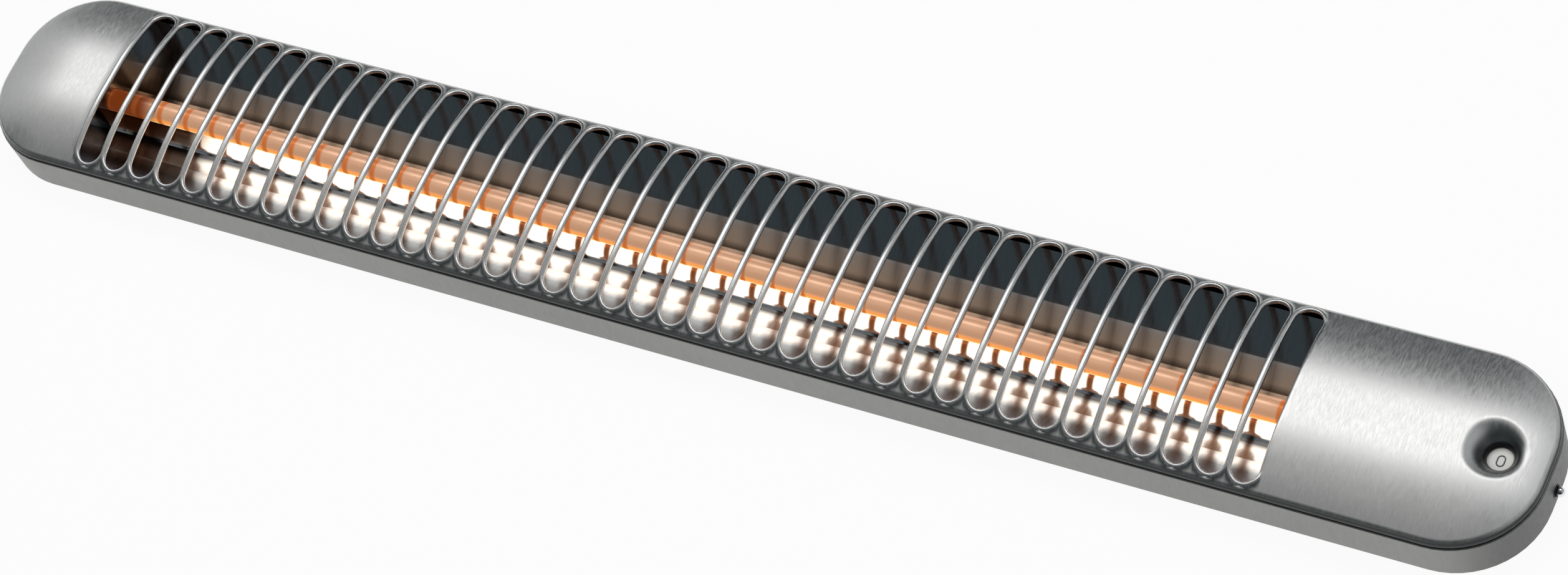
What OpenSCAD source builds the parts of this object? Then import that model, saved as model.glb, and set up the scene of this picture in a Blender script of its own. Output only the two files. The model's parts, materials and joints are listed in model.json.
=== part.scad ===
// Infrared bar heater for a wall: a slotted aluminium cover over a reflector trough with one
// quartz tube, switched by a pull ball on the end wall. It lies on its back, the front up.
// X runs along the case with the switch at +X, Y runs across it and Z leaves the wall.

/* [Case] */
// Length of the case over its rounded ends
case_l = 720; // [712:1:760]
// Width of the case
case_w = 86; // [84:0.5:92]
// Height from the wall face to the crown of the cover
case_h = 30.4; // [30:0.2:36]
// Radius of the four corners of the plan
corner_r = 36.5; // [34:0.5:38]
// Height of the side wall of the rear tray
wall_h = 19.4; // [18.6:0.2:21]
// Thickness of the tray and cover sheet
sheet_t = 1.2; // [0.8:0.1:1.4]
// Radius where the dome turns down into the side
edge_r = 3; // [2.6:0.1:4]
// Height of the shadow groove between tray and dome
groove_h = 1; // [0.6:0.1:1.4]
// Step from the side wall in to the foot of the dome
step_in = 0.5; // [0.3:0.1:0.8]
// Depth that the cover's flange reaches into the tray
flange_h = 9; // [6:0.5:10]

/* [Slots] */
// Number of slots
slot_count = 40; // [30:1:40]
// Distance from slot to slot
slot_pitch = 14; // [12:0.5:14]
// Width of the rolled bar between two slots
bar_w = 2.8; // [2:0.1:3.4]
// Strip left between a slot's lip and the side of the case
slot_edge = 3.1; // [2.8:0.1:8]
// Distance from the right end of the case to the last slot's lip
slot_end_gap = 103.3; // [102:0.5:112]

/* [Indicator] */
// Distance from the right end to the centre of the dimple
dimple_in = 20.5; // [19:0.5:23]
// Diameter of the dimple at the dome
dimple_d = 21; // [18:0.5:24]
// Diameter of the window at the bottom of the dimple
window_d = 10.4; // [8:0.2:11]
// Depth of the window plane under the crown
window_depth = 9.2; // [8.6:0.1:9.6]
// Radius at which the numerals stand on the disc
numeral_ring_r = 14; // [13:0.5:15]
// Radius of the indicator disc
disc_r = 19; // [18.5:0.1:20]

/* [Heating] */
// Outer diameter of the quartz tube
tube_d = 10; // [8:0.5:11]
// Wall of the quartz tube
tube_wall = 1; // [0.8:0.1:1.4]
// Height of the tube's axis above the wall face
tube_z = 10.6; // [10.2:0.2:12]
// Length of tube outside each end panel
tube_stub = 14; // [12:0.5:16]
// Thickness of the reflector sheet
reflector_t = 0.6; // [0.4:0.1:0.8]
// Half width of the flat bottom of the trough
trough_flat = 11; // [9:0.5:13]
// Half width of the trough at its fold
fold_y = 22; // [20:0.5:26]
// Height of the fold above the wall face
fold_z = 8; // [7:0.2:9]
// Height of the upper edge of the trough
trough_top = 20.2; // [19:0.2:20.4]
// Length of the trough beyond the slots at each end
trough_over = 7; // [5:0.5:8]

/* [Switch] */
// Height of the pull rod above the wall face
pull_z = 6.5; // [6.5:0.1:7]
// Diameter of the pull rod
rod_d = 2; // [1.6:0.1:2.4]
// Diameter of the pull ball
ball_d = 4.2; // [4:0.1:5]
// Module of the rack and pinion
gear_m = 1; // [0.9:0.05:1]
// Teeth on the drive pinion
pinion_teeth = 16; // [15:1:16]
// Turn of the pinion for one pull, in degrees
pull_turn = 60; // [40:5:60]

/* [Fixing] */
// Diameter of the wall screw holes
wall_hole_d = 5; // [4:0.5:6]
// Diameter of the cable inlet
inlet_d = 12; // [10:0.5:13]

/* [Hidden] */
$fn = 64;

// Clearances and the overrun of every cut
cut = 1;
fit_gap = 0.3;
run_gap = 0.08;
seat_gap = 0.1;

// Plan of the case
half_l = case_l / 2;
half_w = case_w / 2;
flat_x = half_l - corner_r;
flat_y = half_w - corner_r;

// Dome: one main arc over the middle and a small arc at the edge, on common centres
dome_z0 = wall_h + groove_h;
dome_u = corner_r - step_in;
edge_u = dome_u - edge_r;
edge_z = dome_z0 + groove_h / 2;
dome_rise = case_h - edge_z;
main_r = (edge_u * edge_u + dome_rise * dome_rise - edge_r * edge_r) / (2 * (dome_rise - edge_r));
main_z = case_h - main_r;
edge_slope = atan2(edge_u, edge_z - main_z);

// Height of the dome's outer face at a distance in from the side of the case
function dome_height(inset) =
    let (u = max(0, corner_r - inset))
    u <= main_r * sin(edge_slope)
        ? main_z + sqrt(main_r * main_r - u * u)
        : edge_z + sqrt(max(0, edge_r * edge_r - (u - edge_u) * (u - edge_u)));

// Flange of the cover inside the tray
flange_u = corner_r - sheet_t - fit_gap;
flange_z0 = dome_z0 - flange_h;
flange_in = half_w - corner_r + flange_u - sheet_t;

// Slots
slot_r = (slot_pitch - bar_w) / 2;
lip_r = slot_pitch / 2;
slot_c = half_w - slot_edge - lip_r;
slots_x1 = half_l - slot_end_gap;
slots_x0 = slots_x1 - slot_count * slot_pitch;
slots_l = slots_x1 - slots_x0;
slots_mid = (slots_x0 + slots_x1) / 2;
function slot_x(i) = slots_x0 + (i + 0.5) * slot_pitch;

// Trough and the panels that close it
floor_t = 1.25 * sheet_t;
shield_t = 0.8;
trough_z = floor_t + shield_t + reflector_t;
trough_side_gap = 4.6;
trough_lip_y = half_w - trough_side_gap;
trough_x0 = slots_x0 - trough_over;
trough_x1 = slots_x1 + trough_over;
trough_l = trough_x1 - trough_x0;
trough_mid = (trough_x0 + trough_x1) / 2;
panel_t = 1;
panel_gap = 0.6;
panel_inset = sheet_t + panel_gap;
panel_y = flange_in - panel_gap;
foot_l = 9;
foot_w = 12;
foot_y = 26;
bracket_t = 1.2;
bracket_y0 = trough_flat + bracket_t;
bracket_count = 3;

// Tube, its caps and clips
tube_x0 = trough_x0 - panel_t - tube_stub;
tube_x1 = trough_x1 + panel_t + tube_stub;
cap_r = 7;
cap_gap = 1;
cap_l = 18;
cap_end_wall = cap_l - (tube_stub - cap_gap);
cap_groove_l = 8.4;
cap_groove_depth = 1;
pin_r = 0.8;
pin_l = 4;
coil_r = 2.6;
coil_in = 6;
clip_t = 0.6;
clip_l = cap_groove_l - 2 * seat_gap;
clip_foot_l = 7;

// Screws: a pan head on a plain shank
m3_r = 1.5;
m3_head_r = 2.8;
m3_head_h = 1.6;
slot_cut_w = 0.8;
slot_cut_h = 0.8;
floor_bite = 0.7 * floor_t;
floor_pilot = 0.8 * floor_t;

// Pull switch
window_x = half_l - dimple_in;
window_z = case_h - window_depth;
shaft_x = window_x - numeral_ring_r;
shaft_r = 2;
pitch_r = gear_m * pinion_teeth / 2;
pull_travel = pitch_r * PI * pull_turn / 180;
gear_w = 4;
gear_z0 = pull_z - gear_w / 2;
gear_z1 = pull_z + gear_w / 2;
addendum = 0.8 * gear_m;
dedendum = 1.1 * gear_m;
backlash = 0.3 * gear_m;
pressure_angle = 20;
rack_root_y = pitch_r + dedendum;
rack_back = 2.4;
rack_y1 = rack_root_y + rack_back;
cross_t = 3;
cross_gap = 1.2;
cross_x0 = shaft_x + pitch_r + addendum + cross_gap;
cross_x1 = cross_x0 + cross_t;
housing_wall = 1.2;
housing_room = 3;
housing_y = rack_y1 + housing_room + housing_wall;
spring_solid_l = 3.9;
spring_rest_l = pull_travel + spring_solid_l;
housing_x1 = cross_x1 + spring_rest_l + housing_wall;
housing_x0 = shaft_x - disc_r;
housing_floor = 1.5;
housing_z0 = floor_t;
layer_gap = 0.3;
wheel_h = 2;
cam_h = 2.2;
wheel_z0 = gear_z1 + layer_gap;
cam_z0 = wheel_z0 + wheel_h + layer_gap;
housing_z1 = cam_z0 + cam_h + layer_gap;
lid_t = 1.4;
disc_t = 1.2;
disc_gap = 0.8;
numeral_t = 0.2;
numeral_h = 5;
numeral_w = 3.4;
numeral_line = 0.5;
disc_z0 = window_z - sheet_t - disc_gap - numeral_t - disc_t;
hub_r = 4.5;
wheel_tip_r = 5.5;
wheel_root_r = 4.6;
wheel_teeth = 6;
finger_gap = 0.35;
finger_in_r = wheel_tip_r + finger_gap;
finger_out_r = pitch_r - dedendum;
cam_base_r = 4.2;
cam_lobe_r = 1.2;
cam_lobes = 3;
cam_reach = cam_base_r + cam_lobe_r;
blade_t = 0.4;
blade_y = cam_reach + fit_gap;
blade_h = cam_h - 2 * seat_gap;
blade_out = 4;
blade_x0 = housing_x0 - blade_out;
blade_z = cam_z0 + cam_h / 2;
ear_r = 4;
ear_in = 2;
ear_x = housing_x0 + ear_r + ear_in;
ear_y = housing_y + 0.75 * ear_r;
ear_t = 3;
spring_wire = 0.5;
spring_gap = 0.7;
spring_r = rod_d / 2 + spring_gap + spring_wire / 2;
spring_turns = 6;
ball_stand = 1.4;
ball_x = half_l + ball_stand;
ball_out = ball_x + ball_d / 2 - half_l;
bush_r = 2.8;
bush_flange_r = 3.8;
bush_flange_t = 1;
bush_out = 0.3;

// The origin stands under the middle of the whole length, ball included
origin_x = ball_out / 2;

// Terminal block
pole_pitch = 9;
poles = 3;
block_w = 13;
block_h = 11;
block_gap = 10;
block_side_gap = 1;
block_x0 = trough_x1 + panel_t + foot_l + block_gap;
block_y0 = flange_in - block_side_gap - block_w;
pole_r = 1.7;
pole_z = floor_t + block_h / 2;
pole_screw_r = 1.2;
pole_screw_shares = [0.27, 0.73];
insert_r = 2.4;
insert_wall = 0.7;
insert_in = 1;
insert_l = block_w - 2 * insert_in;
barrier_w = 1;

// Cable inlet, wall screws and earth stud
grommet_lip = 1.5;
grommet_lip_t = 1.2;
grommet_bore_r = 3;
grommet_gap = 2.8;
inlet_x = ear_x + ear_r + inlet_d;
inlet_y = housing_y + grommet_gap + grommet_lip + inlet_d / 2;
wall_hole_in = 15;
wall_hole_gap = 12;
wall_hole_left_x = -half_l + wall_hole_in;
wall_hole_right_x = housing_x0 - wall_hole_gap;
earth_gap = 8;
earth_side_gap = 10.3;
earth_x = housing_x0 - earth_gap;
earth_y = -housing_y - earth_side_gap;
earth_nut_r = 3.1;
earth_nut_h = 2;
earth_washer_r = 2.7;
earth_washer_t = 0.6;
earth_stud_h = 5;

// Thermal cut-out on the right end panel
cutout_in = 19;
cutout_rise = 10.2;
cutout_y = -half_w + cutout_in;
cutout_z = floor_t + cutout_rise;
cutout_r = 7;
cutout_t = 5;
cutout_flange_t = 0.8;
cutout_screw_gap = 3.2;
cutout_screw_y = cutout_r + cutout_screw_gap;
cutout_tab_l = 5;
cutout_tab_y = 3;
cutout_tab_w = 3;
cutout_tab_t = 0.6;

// Cover clips and locking screws
clip_count = 6;
cover_clip_l = 10;
cover_clip_h = 5;
lock_in = 40;
lock_rise = 3.4;
lock_x = [trough_x0 + lock_in, trough_x1 - lock_in];
lock_z = flange_z0 + lock_rise;
lock_r = 1.25;
lock_head_r = 2.3;
nut_r = 2.4;
nut_t = 2;

// Wires
wire_d = 2.2;
wire_sides = 8;
wire_bend = 3;
wire_steps = 4;
wire_room = 3;
wire_end = 1.4;
lead_z = floor_t + wire_d / 2 + seat_gap;
gutter_in = 4.5;
gutter_rise = 3.6;
gutter_y = trough_lip_y - gutter_in;
gutter_z = floor_t + gutter_rise;
wire_clip_t = 0.8;
wire_clip_l = 4;
wire_clip_share = 0.72;

// Carries a profile round the plan: its x is the distance out from the corner centres
module round_the_plan() {
    for (quarter = [0:3]) {
        sx = quarter == 0 || quarter == 3 ? 1 : -1;
        sy = quarter < 2 ? 1 : -1;
        translate([sx * flat_x, sy * flat_y, 0]) rotate([0, 0, 90 * quarter])
            rotate_extrude(angle = 90) children();
    }
    for (side = [0, 180]) rotate([0, 0, side]) {
        translate([flat_x, flat_y, 0]) rotate([90, 0, 0])
            linear_extrude(2 * flat_y) children();
        translate([-flat_x, flat_y, 0]) rotate([90, 0, 90])
            linear_extrude(2 * flat_x) children();
    }
}

// Half section of the dome, drawn in by an inset, from a base height up
module dome_section(inset, base_z) {
    small_r = edge_r - inset;
    tangent_u = edge_u + small_r * sin(edge_slope);
    intersection() {
        translate([0, main_z]) circle(main_r - inset, $fn = 180);
        translate([0, base_z]) square([tangent_u, case_h]);
    }
    translate([0, base_z]) square([edge_u + small_r, edge_z - base_z]);
    intersection() {
        translate([edge_u, edge_z]) circle(small_r);
        translate([0, base_z]) square([edge_u + small_r, case_h]);
    }
}

// Solid dome over the whole plan, drawn in by an inset
module dome(inset, base_z) {
    round_the_plan() dome_section(inset, base_z);
    translate([-flat_x, -flat_y, base_z])
        cube([2 * flat_x, 2 * flat_y, case_h - inset - base_z]);
}

// Full cross-section of the straight part of the dome
module dome_cross(inset, base_z) {
    for (side = [0, 1]) mirror([side, 0]) translate([flat_y, 0]) dome_section(inset, base_z);
    translate([-flat_y, base_z]) square([2 * flat_y, case_h - inset - base_z]);
}

// Extrudes a cross-section drawn in Y and Z along X
module along_x(x0, x1) {
    translate([x0, 0, 0]) rotate([90, 0, 90]) linear_extrude(x1 - x0) children();
}

// Prisms of all slots, each with round ends
module slot_prisms() {
    for (i = [0:slot_count - 1]) translate([slot_x(i), 0, wall_h]) linear_extrude(case_h) {
        square([2 * slot_r, 2 * slot_c], center = true);
        for (side = [-1, 1]) translate([0, side * slot_c]) circle(slot_r);
    }
}

// Section of the deep bars under the slotted field, on the dome's main arc
module bar_section() {
    reach = slot_c + lip_r - flat_y - bar_w / 4;
    for (side = [0, 1]) mirror([side, 0]) translate([flat_y, 0]) intersection() {
        translate([0, main_z]) difference() {
            circle(main_r - sheet_t / 2, $fn = 180);
            circle(main_r - bar_w, $fn = 180);
        }
        square([reach, 2 * case_h]);
    }
    translate([-flat_y, case_h - bar_w]) square([2 * flat_y, bar_w - sheet_t / 2]);
}

// Cone of the dimple, drawn out by a wall
module dimple_cone(wall) {
    top_z = case_h + cut;
    lean = (dimple_d - window_d) / 2 / (dome_height(dimple_in) - window_z);
    translate([window_x, 0, window_z - wall])
        cylinder(r1 = window_d / 2 + wall, r2 = window_d / 2 + wall + lean * (top_z - window_z),
                 h = top_z - window_z);
}

// Half section of the cover: the sheet of the dome, its foot and the flange inside the tray
module cover_section() {
    difference() {
        dome_section(0, dome_z0);
        dome_section(sheet_t, dome_z0 - cut);
    }
    translate([flange_u - sheet_t, dome_z0]) square([dome_u - flange_u + sheet_t, sheet_t]);
    translate([flange_u - sheet_t, flange_z0]) square([sheet_t, flange_h + sheet_t / 2]);
}

module front_cover() {
    color([0.78, 0.78, 0.77]) difference() {
        union() {
            round_the_plan() cover_section();
            translate([-flat_x, -flat_y, case_h - sheet_t]) cube([2 * flat_x, 2 * flat_y, sheet_t]);
            along_x(slots_x0, slots_x1) bar_section();
            intersection() {
                dimple_cone(sheet_t);
                dome(0, dome_z0);
            }
        }
        dimple_cone(0);
        slot_prisms();
        translate([window_x, 0, window_z - 2 * sheet_t]) cylinder(d = window_d, h = 4 * sheet_t);
        for (x = lock_x) translate([x, half_w, lock_z]) rotate([90, 0, 0])
            cylinder(r = lock_r + seat_gap, h = 4 * sheet_t);
    }
}

module rear_tray() {
    rim_r = sheet_t / 2;
    bend_r = sheet_t;
    color([0.62, 0.62, 0.6]) difference() {
        union() {
            round_the_plan() {
                translate([corner_r - sheet_t, bend_r]) square([sheet_t, wall_h - rim_r - bend_r]);
                translate([corner_r - rim_r, wall_h - rim_r]) circle(rim_r);
                translate([corner_r - bend_r, bend_r]) circle(bend_r);
                square([corner_r - bend_r, floor_t]);
            }
            translate([-flat_x, -flat_y, 0]) cube([2 * flat_x, 2 * flat_y, floor_t]);
        }
        for (x = [wall_hole_left_x, wall_hole_right_x]) translate([x, 0, -cut])
            cylinder(d = wall_hole_d, h = floor_t + 2 * cut);
        translate([inlet_x, inlet_y, -cut]) cylinder(d = inlet_d, h = floor_t + 2 * cut);
        translate([half_l - 2 * sheet_t, 0, pull_z]) rotate([0, 90, 0])
            cylinder(r = bush_r, h = 4 * sheet_t);
        for (x = lock_x) translate([x, half_w + cut, lock_z]) rotate([90, 0, 0])
            cylinder(r = lock_head_r + seat_gap, h = sheet_t + 2 * cut);
        for (p = floor_screws()) translate([p[0], p[1], floor_t - floor_pilot])
            cylinder(r = m3_r, h = floor_t);
    }
}

// Places of the screws that bite into the tray floor
function floor_screws() = [
    for (end = [0, 1], side = [-1, 1]) [foot_x(end), side * foot_y],
    [ear_x, ear_y], [ear_x, -ear_y],
    [earth_x, earth_y]
];
function foot_x(end) =
    end == 0 ? trough_x0 - panel_t - 0.6 * foot_l : trough_x1 + panel_t + 0.6 * foot_l;

// Inner face of the trough, from the middle to one edge
trough_face = [[trough_flat, trough_z], [fold_y, fold_z], [trough_lip_y, trough_top]];

module trough_section() {
    right = trough_face;
    left = [for (i = [len(right) - 1:-1:0]) [-right[i][0], right[i][1]]];
    inner = concat(left, right);
    outer = [for (i = [len(inner) - 1:-1:0]) [inner[i][0], inner[i][1] - reflector_t]];
    polygon(concat(inner, outer));
}

module reflector() {
    color([0.88, 0.87, 0.85]) along_x(trough_x0, trough_x1) trough_section();
}

// One end panel, its foot turned away from the trough
module end_panel(end) {
    x0 = end == 0 ? trough_x0 - panel_t : trough_x1;
    foot_x0 = end == 0 ? trough_x0 - foot_l : trough_x1;
    color([0.82, 0.82, 0.8]) difference() {
        union() {
            along_x(x0, x0 + panel_t) intersection() {
                dome_cross(panel_inset, floor_t);
                translate([-panel_y, floor_t]) square([2 * panel_y, case_h]);
            }
            for (side = [-1, 1])
                translate([foot_x0, side * foot_y - foot_w / 2, floor_t])
                    cube([foot_l, foot_w, panel_t]);
        }
        translate([x0 - cut, 0, tube_z]) rotate([0, 90, 0])
            cylinder(d = tube_d + 2 * fit_gap, h = panel_t + 2 * cut);
        for (side = [-1, 1]) translate([foot_x(end), side * foot_y, floor_t - cut])
            cylinder(r = m3_r + seat_gap, h = panel_t + 2 * cut);
        if (end == 1) for (side = [-1, 1])
            translate([x0 - cut, cutout_y + side * cutout_screw_y, cutout_z]) rotate([0, 90, 0])
                cylinder(r = m3_r, h = panel_t + 2 * cut);
        translate([x0 - cut, gutter_y, gutter_z]) rotate([0, 90, 0])
            cylinder(r = wire_d, h = panel_t + 2 * cut);
    }
}

module reflector_end_left() { end_panel(0); }

module reflector_end_right() { end_panel(1); }

module heat_shield() {
    color([0.85, 0.82, 0.74]) translate([trough_x0, -trough_flat, floor_t])
        cube([trough_l, 2 * trough_flat, shield_t]);
}

// Height of the trough's under side at a distance from the middle
function under_trough(y) =
    (y < fold_y
        ? trough_z + (fold_z - trough_z) * (y - trough_flat) / (fold_y - trough_flat)
        : fold_z + (trough_top - fold_z) * (y - fold_y) / (trough_lip_y - fold_y)) - reflector_t;

module reflector_brackets() {
    side_y = gutter_y - 2 * wire_d;
    color([0.7, 0.71, 0.72]) for (i = [0:bracket_count - 1]) {
        x = trough_x0 + trough_l * (2 * i + 1) / (2 * bracket_count);
        for (side = [0, 1]) mirror([0, side, 0]) along_x(x - bracket_t / 2, x + bracket_t / 2)
            polygon([
                [bracket_y0, floor_t], [side_y, floor_t], [side_y, under_trough(side_y)],
                [fold_y, under_trough(fold_y)], [bracket_y0, under_trough(bracket_y0)]
            ]);
    }
}

module quartz_tube() {
    color([0.93, 0.42, 0.12]) translate([tube_x0, 0, tube_z]) rotate([0, 90, 0]) difference() {
        cylinder(d = tube_d, h = tube_x1 - tube_x0);
        translate([0, 0, -cut]) cylinder(d = tube_d - 2 * tube_wall, h = tube_x1 - tube_x0 + 2 * cut);
    }
}

// The wound element as one core, with a pin through each cap
module heating_coil() {
    pin_run = coil_in + cap_end_wall + pin_l;
    color([1, 0.55, 0.15]) {
        translate([tube_x0 + coil_in, 0, tube_z]) rotate([0, 90, 0])
            cylinder(r = coil_r, h = tube_x1 - tube_x0 - 2 * coil_in);
        translate([tube_x0 + coil_in - pin_run, 0, tube_z]) rotate([0, 90, 0])
            cylinder(r = pin_r, h = pin_run);
        translate([tube_x1 - coil_in, 0, tube_z]) rotate([0, 90, 0])
            cylinder(r = pin_r, h = pin_run);
    }
}

// A ceramic cap, its mouth at the origin and its closed end at +Z
module tube_cap() {
    color([0.93, 0.92, 0.88]) difference() {
        cylinder(r = cap_r, h = cap_l);
        translate([0, 0, -cut]) cylinder(d = tube_d + 2 * seat_gap, h = tube_stub - cap_gap + cut);
        cylinder(r = pin_r + seat_gap, h = cap_l + cut);
        translate([0, 0, (cap_l - cap_groove_l) / 2]) difference() {
            cylinder(r = cap_r + cut, h = cap_groove_l);
            translate([0, 0, -cut]) cylinder(r = cap_r - cap_groove_depth, h = cap_groove_l + 2 * cut);
        }
    }
}

module tube_cap_left() {
    translate([trough_x0 - panel_t - cap_gap, 0, tube_z]) rotate([0, -90, 0]) tube_cap();
}

module tube_cap_right() {
    translate([trough_x1 + panel_t + cap_gap, 0, tube_z]) rotate([0, 90, 0]) tube_cap();
}

// Spring clip round the groove of a cap, with a foot on the floor
module cap_clip() {
    ring_r = cap_r - cap_groove_depth + seat_gap;
    mouth = 1.3 * ring_r;
    translate([-clip_l / 2, 0, tube_z]) rotate([0, 90, 0]) difference() {
        cylinder(r = ring_r + clip_t, h = clip_l);
        translate([0, 0, -cut]) cylinder(r = ring_r, h = clip_l + 2 * cut);
        translate([-cap_r - cut, -mouth / 2, -cut]) cube([cap_r + cut, mouth, clip_l + 2 * cut]);
    }
    translate([-clip_l / 2, -clip_t, floor_t])
        cube([clip_l, 2 * clip_t, tube_z - ring_r - clip_t / 2 - floor_t]);
    translate([-clip_l / 2, -clip_foot_l, floor_t]) cube([clip_l, 2 * clip_foot_l, clip_t]);
}

module cap_clips() {
    color([0.72, 0.74, 0.76]) for (x = [trough_x0 - panel_t - cap_gap - cap_l / 2,
                                       trough_x1 + panel_t + cap_gap + cap_l / 2])
        translate([x, 0, 0]) cap_clip();
}

// A slotted pan-head screw, the underside of its head at the origin, pointing down
module pan_screw(r, head_r, head_h, length) {
    translate([0, 0, -length]) cylinder(r = r, h = length);
    difference() {
        cylinder(r = head_r, h = head_h);
        translate([-head_r - cut, -slot_cut_w / 2, head_h - slot_cut_h])
            cube([2 * (head_r + cut), slot_cut_w, slot_cut_h + cut]);
    }
}

module panel_screws() {
    color([0.75, 0.75, 0.72]) for (end = [0, 1], side = [-1, 1])
        translate([foot_x(end), side * foot_y, floor_t + panel_t])
            pan_screw(m3_r - seat_gap, m3_head_r, m3_head_h, panel_t + floor_bite);
}

module thermal_cutout() {
    x0 = trough_x1 + panel_t;
    color([0.25, 0.2, 0.18]) {
        translate([x0, cutout_y, cutout_z]) rotate([0, 90, 0]) cylinder(r = cutout_r, h = cutout_t);
        difference() {
            translate([x0, cutout_y - cutout_screw_y - m3_head_r, cutout_z - m3_head_r])
                cube([cutout_flange_t, 2 * (cutout_screw_y + m3_head_r), 2 * m3_head_r]);
            for (side = [-1, 1]) translate([x0 - cut, cutout_y + side * cutout_screw_y, cutout_z])
                rotate([0, 90, 0]) cylinder(r = m3_r + seat_gap, h = cutout_flange_t + 2 * cut);
        }
        for (side = [-1, 1])
            translate([x0 + cutout_t, cutout_y + side * cutout_tab_y - cutout_tab_t / 2,
                       cutout_z - cutout_tab_w / 2])
                cube([cutout_tab_l, cutout_tab_t, cutout_tab_w]);
    }
}

module cutout_screws() {
    color([0.75, 0.75, 0.72]) for (side = [-1, 1])
        translate([trough_x1 + panel_t + cutout_flange_t, cutout_y + side * cutout_screw_y, cutout_z])
            rotate([0, 90, 0])
                pan_screw(m3_r - seat_gap, m3_head_r - seat_gap, m3_head_h, panel_t + cutout_flange_t);
}

function pole_x(i) = block_x0 + pole_pitch * (i + 0.5);

module terminal_block() {
    color([0.9, 0.89, 0.84]) difference() {
        translate([block_x0, block_y0, floor_t]) cube([poles * pole_pitch, block_w, block_h]);
        for (i = [0:poles - 1]) {
            translate([pole_x(i), block_y0 - cut, pole_z]) rotate([-90, 0, 0])
                cylinder(r = insert_r, h = block_w + 2 * cut);
            for (share = pole_screw_shares)
                translate([pole_x(i), block_y0 + block_w * share, pole_z])
                    cylinder(r = pole_r + seat_gap, h = block_h);
        }
        for (i = [1:poles - 1])
            translate([block_x0 + pole_pitch * i - barrier_w / 2, block_y0 - cut,
                       floor_t + 0.75 * block_h])
                cube([barrier_w, block_w + 2 * cut, block_h]);
    }
}

module terminal_inserts() {
    color([0.8, 0.65, 0.3]) for (i = [0:poles - 1])
        translate([pole_x(i), block_y0 + insert_in, pole_z]) rotate([-90, 0, 0]) difference() {
            cylinder(r = insert_r - seat_gap / 2, h = insert_l);
            translate([0, 0, -cut]) cylinder(r = insert_r - insert_wall, h = insert_l + 2 * cut);
            for (share = pole_screw_shares) rotate([90, 0, 0])
                translate([0, block_w * share - insert_in, 0])
                    cylinder(r = pole_screw_r + seat_gap, h = block_h);
        }
}

module terminal_screws() {
    color([0.75, 0.75, 0.72]) for (i = [0:poles - 1], share = pole_screw_shares)
        translate([pole_x(i), block_y0 + block_w * share, pole_z + insert_r])
            pan_screw(pole_screw_r, pole_r, 0.2 * block_h, insert_wall);
}

module cable_grommet() {
    color([0.15, 0.15, 0.15]) translate([inlet_x, inlet_y, 0]) difference() {
        union() {
            translate([0, 0, floor_t + seat_gap / 2])
                cylinder(r = inlet_d / 2 + grommet_lip, h = grommet_lip_t - seat_gap / 2);
            cylinder(r = inlet_d / 2 - seat_gap, h = floor_t + grommet_lip_t);
        }
        translate([0, 0, -cut]) cylinder(r = grommet_bore_r, h = floor_t + grommet_lip_t + 2 * cut);
    }
}

module earth_screw() {
    color([0.82, 0.66, 0.3]) translate([earth_x, earth_y, floor_t]) {
        cylinder(r = earth_nut_r, h = earth_nut_h, $fn = 6);
        translate([0, 0, -floor_bite])
            cylinder(r = m3_r - seat_gap, h = floor_bite + earth_stud_h);
        translate([0, 0, earth_nut_h]) cylinder(r = earth_washer_r, h = earth_washer_t);
    }
}

function unit(v) = v / norm(v);

// A route with each inner point replaced by a short curve between its two runs
function eased(points) = [
    for (i = [0:len(points) - 1])
        let (p = points[i])
        if (i == 0 || i == len(points) - 1) p
        else
            let (
                back = points[i - 1] - p, on = points[i + 1] - p,
                a = p + unit(back) * min(wire_bend, norm(back) / 3),
                b = p + unit(on) * min(wire_bend, norm(on) / 3)
            )
            each [for (k = [0:wire_steps])
                let (t = k / wire_steps) (1 - t) * (1 - t) * a + 2 * t * (1 - t) * p + t * t * b]
];

// Direction of a route at one of its points
function heading(path, i) =
    i == 0 ? unit(path[1] - path[0])
    : i == len(path) - 1 ? unit(path[i] - path[i - 1])
    : unit(unit(path[i] - path[i - 1]) + unit(path[i + 1] - path[i]));

// Side direction of each ring, carried along the route without twist
function sides_along(path) = [
    for (
        i = 0,
        t = heading(path, 0),
        n = unit(cross(t, abs(t[2]) < 0.9 ? [0, 0, 1] : [1, 0, 0]));
        i < len(path);
        i = i + 1,
        t = i < len(path) ? heading(path, i) : t,
        n = unit(n - (n * t) * t)
    ) n
];

// A sleeved wire swept along a route
module wire(points) {
    path = eased(points);
    side = sides_along(path);
    n = len(path);
    rings = [
        for (i = [0:n - 1], s = [0:wire_sides - 1])
            let (up = cross(heading(path, i), side[i]), a = 360 * s / wire_sides)
            path[i] + wire_d / 2 * (cos(a) * side[i] + sin(a) * up)
    ];
    faces = concat(
        [[for (s = [wire_sides - 1:-1:0]) s]],
        [for (i = [0:n - 2], s = [0:wire_sides - 1])
            let (t = (s + 1) % wire_sides, p = i * wire_sides, q = p + wire_sides)
            [p + s, p + t, q + t, q + s]],
        [[for (s = [0:wire_sides - 1]) (n - 1) * wire_sides + s]]
    );
    polyhedron(points = rings, faces = faces, convexity = 6);
}

// End of a wire on a tab of the thermal cut-out
function cutout_tip(side) = [
    trough_x1 + panel_t + cutout_t + cutout_tab_l + wire_d / 2,
    cutout_y + side * cutout_tab_y,
    cutout_z
];

// Start of a wire under the screw of a pole, and the place where it has left the block
function pole_start(i) = [pole_x(i), block_y0 + block_w * pole_screw_shares[0], pole_z];
function pole_exit(i) = [pole_x(i), block_y0 - wire_room, pole_z];

module live_wire() {
    turn_x = blade_x0 - wire_room;
    color([0.45, 0.25, 0.12]) wire([
        pole_start(2), pole_exit(2), [turn_x, blade_y + 2 * wire_room, pole_z],
        [turn_x, blade_y + blade_t / 2, blade_z],
        [blade_x0 - seat_gap, blade_y + blade_t / 2, blade_z]
    ]);
}

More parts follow.
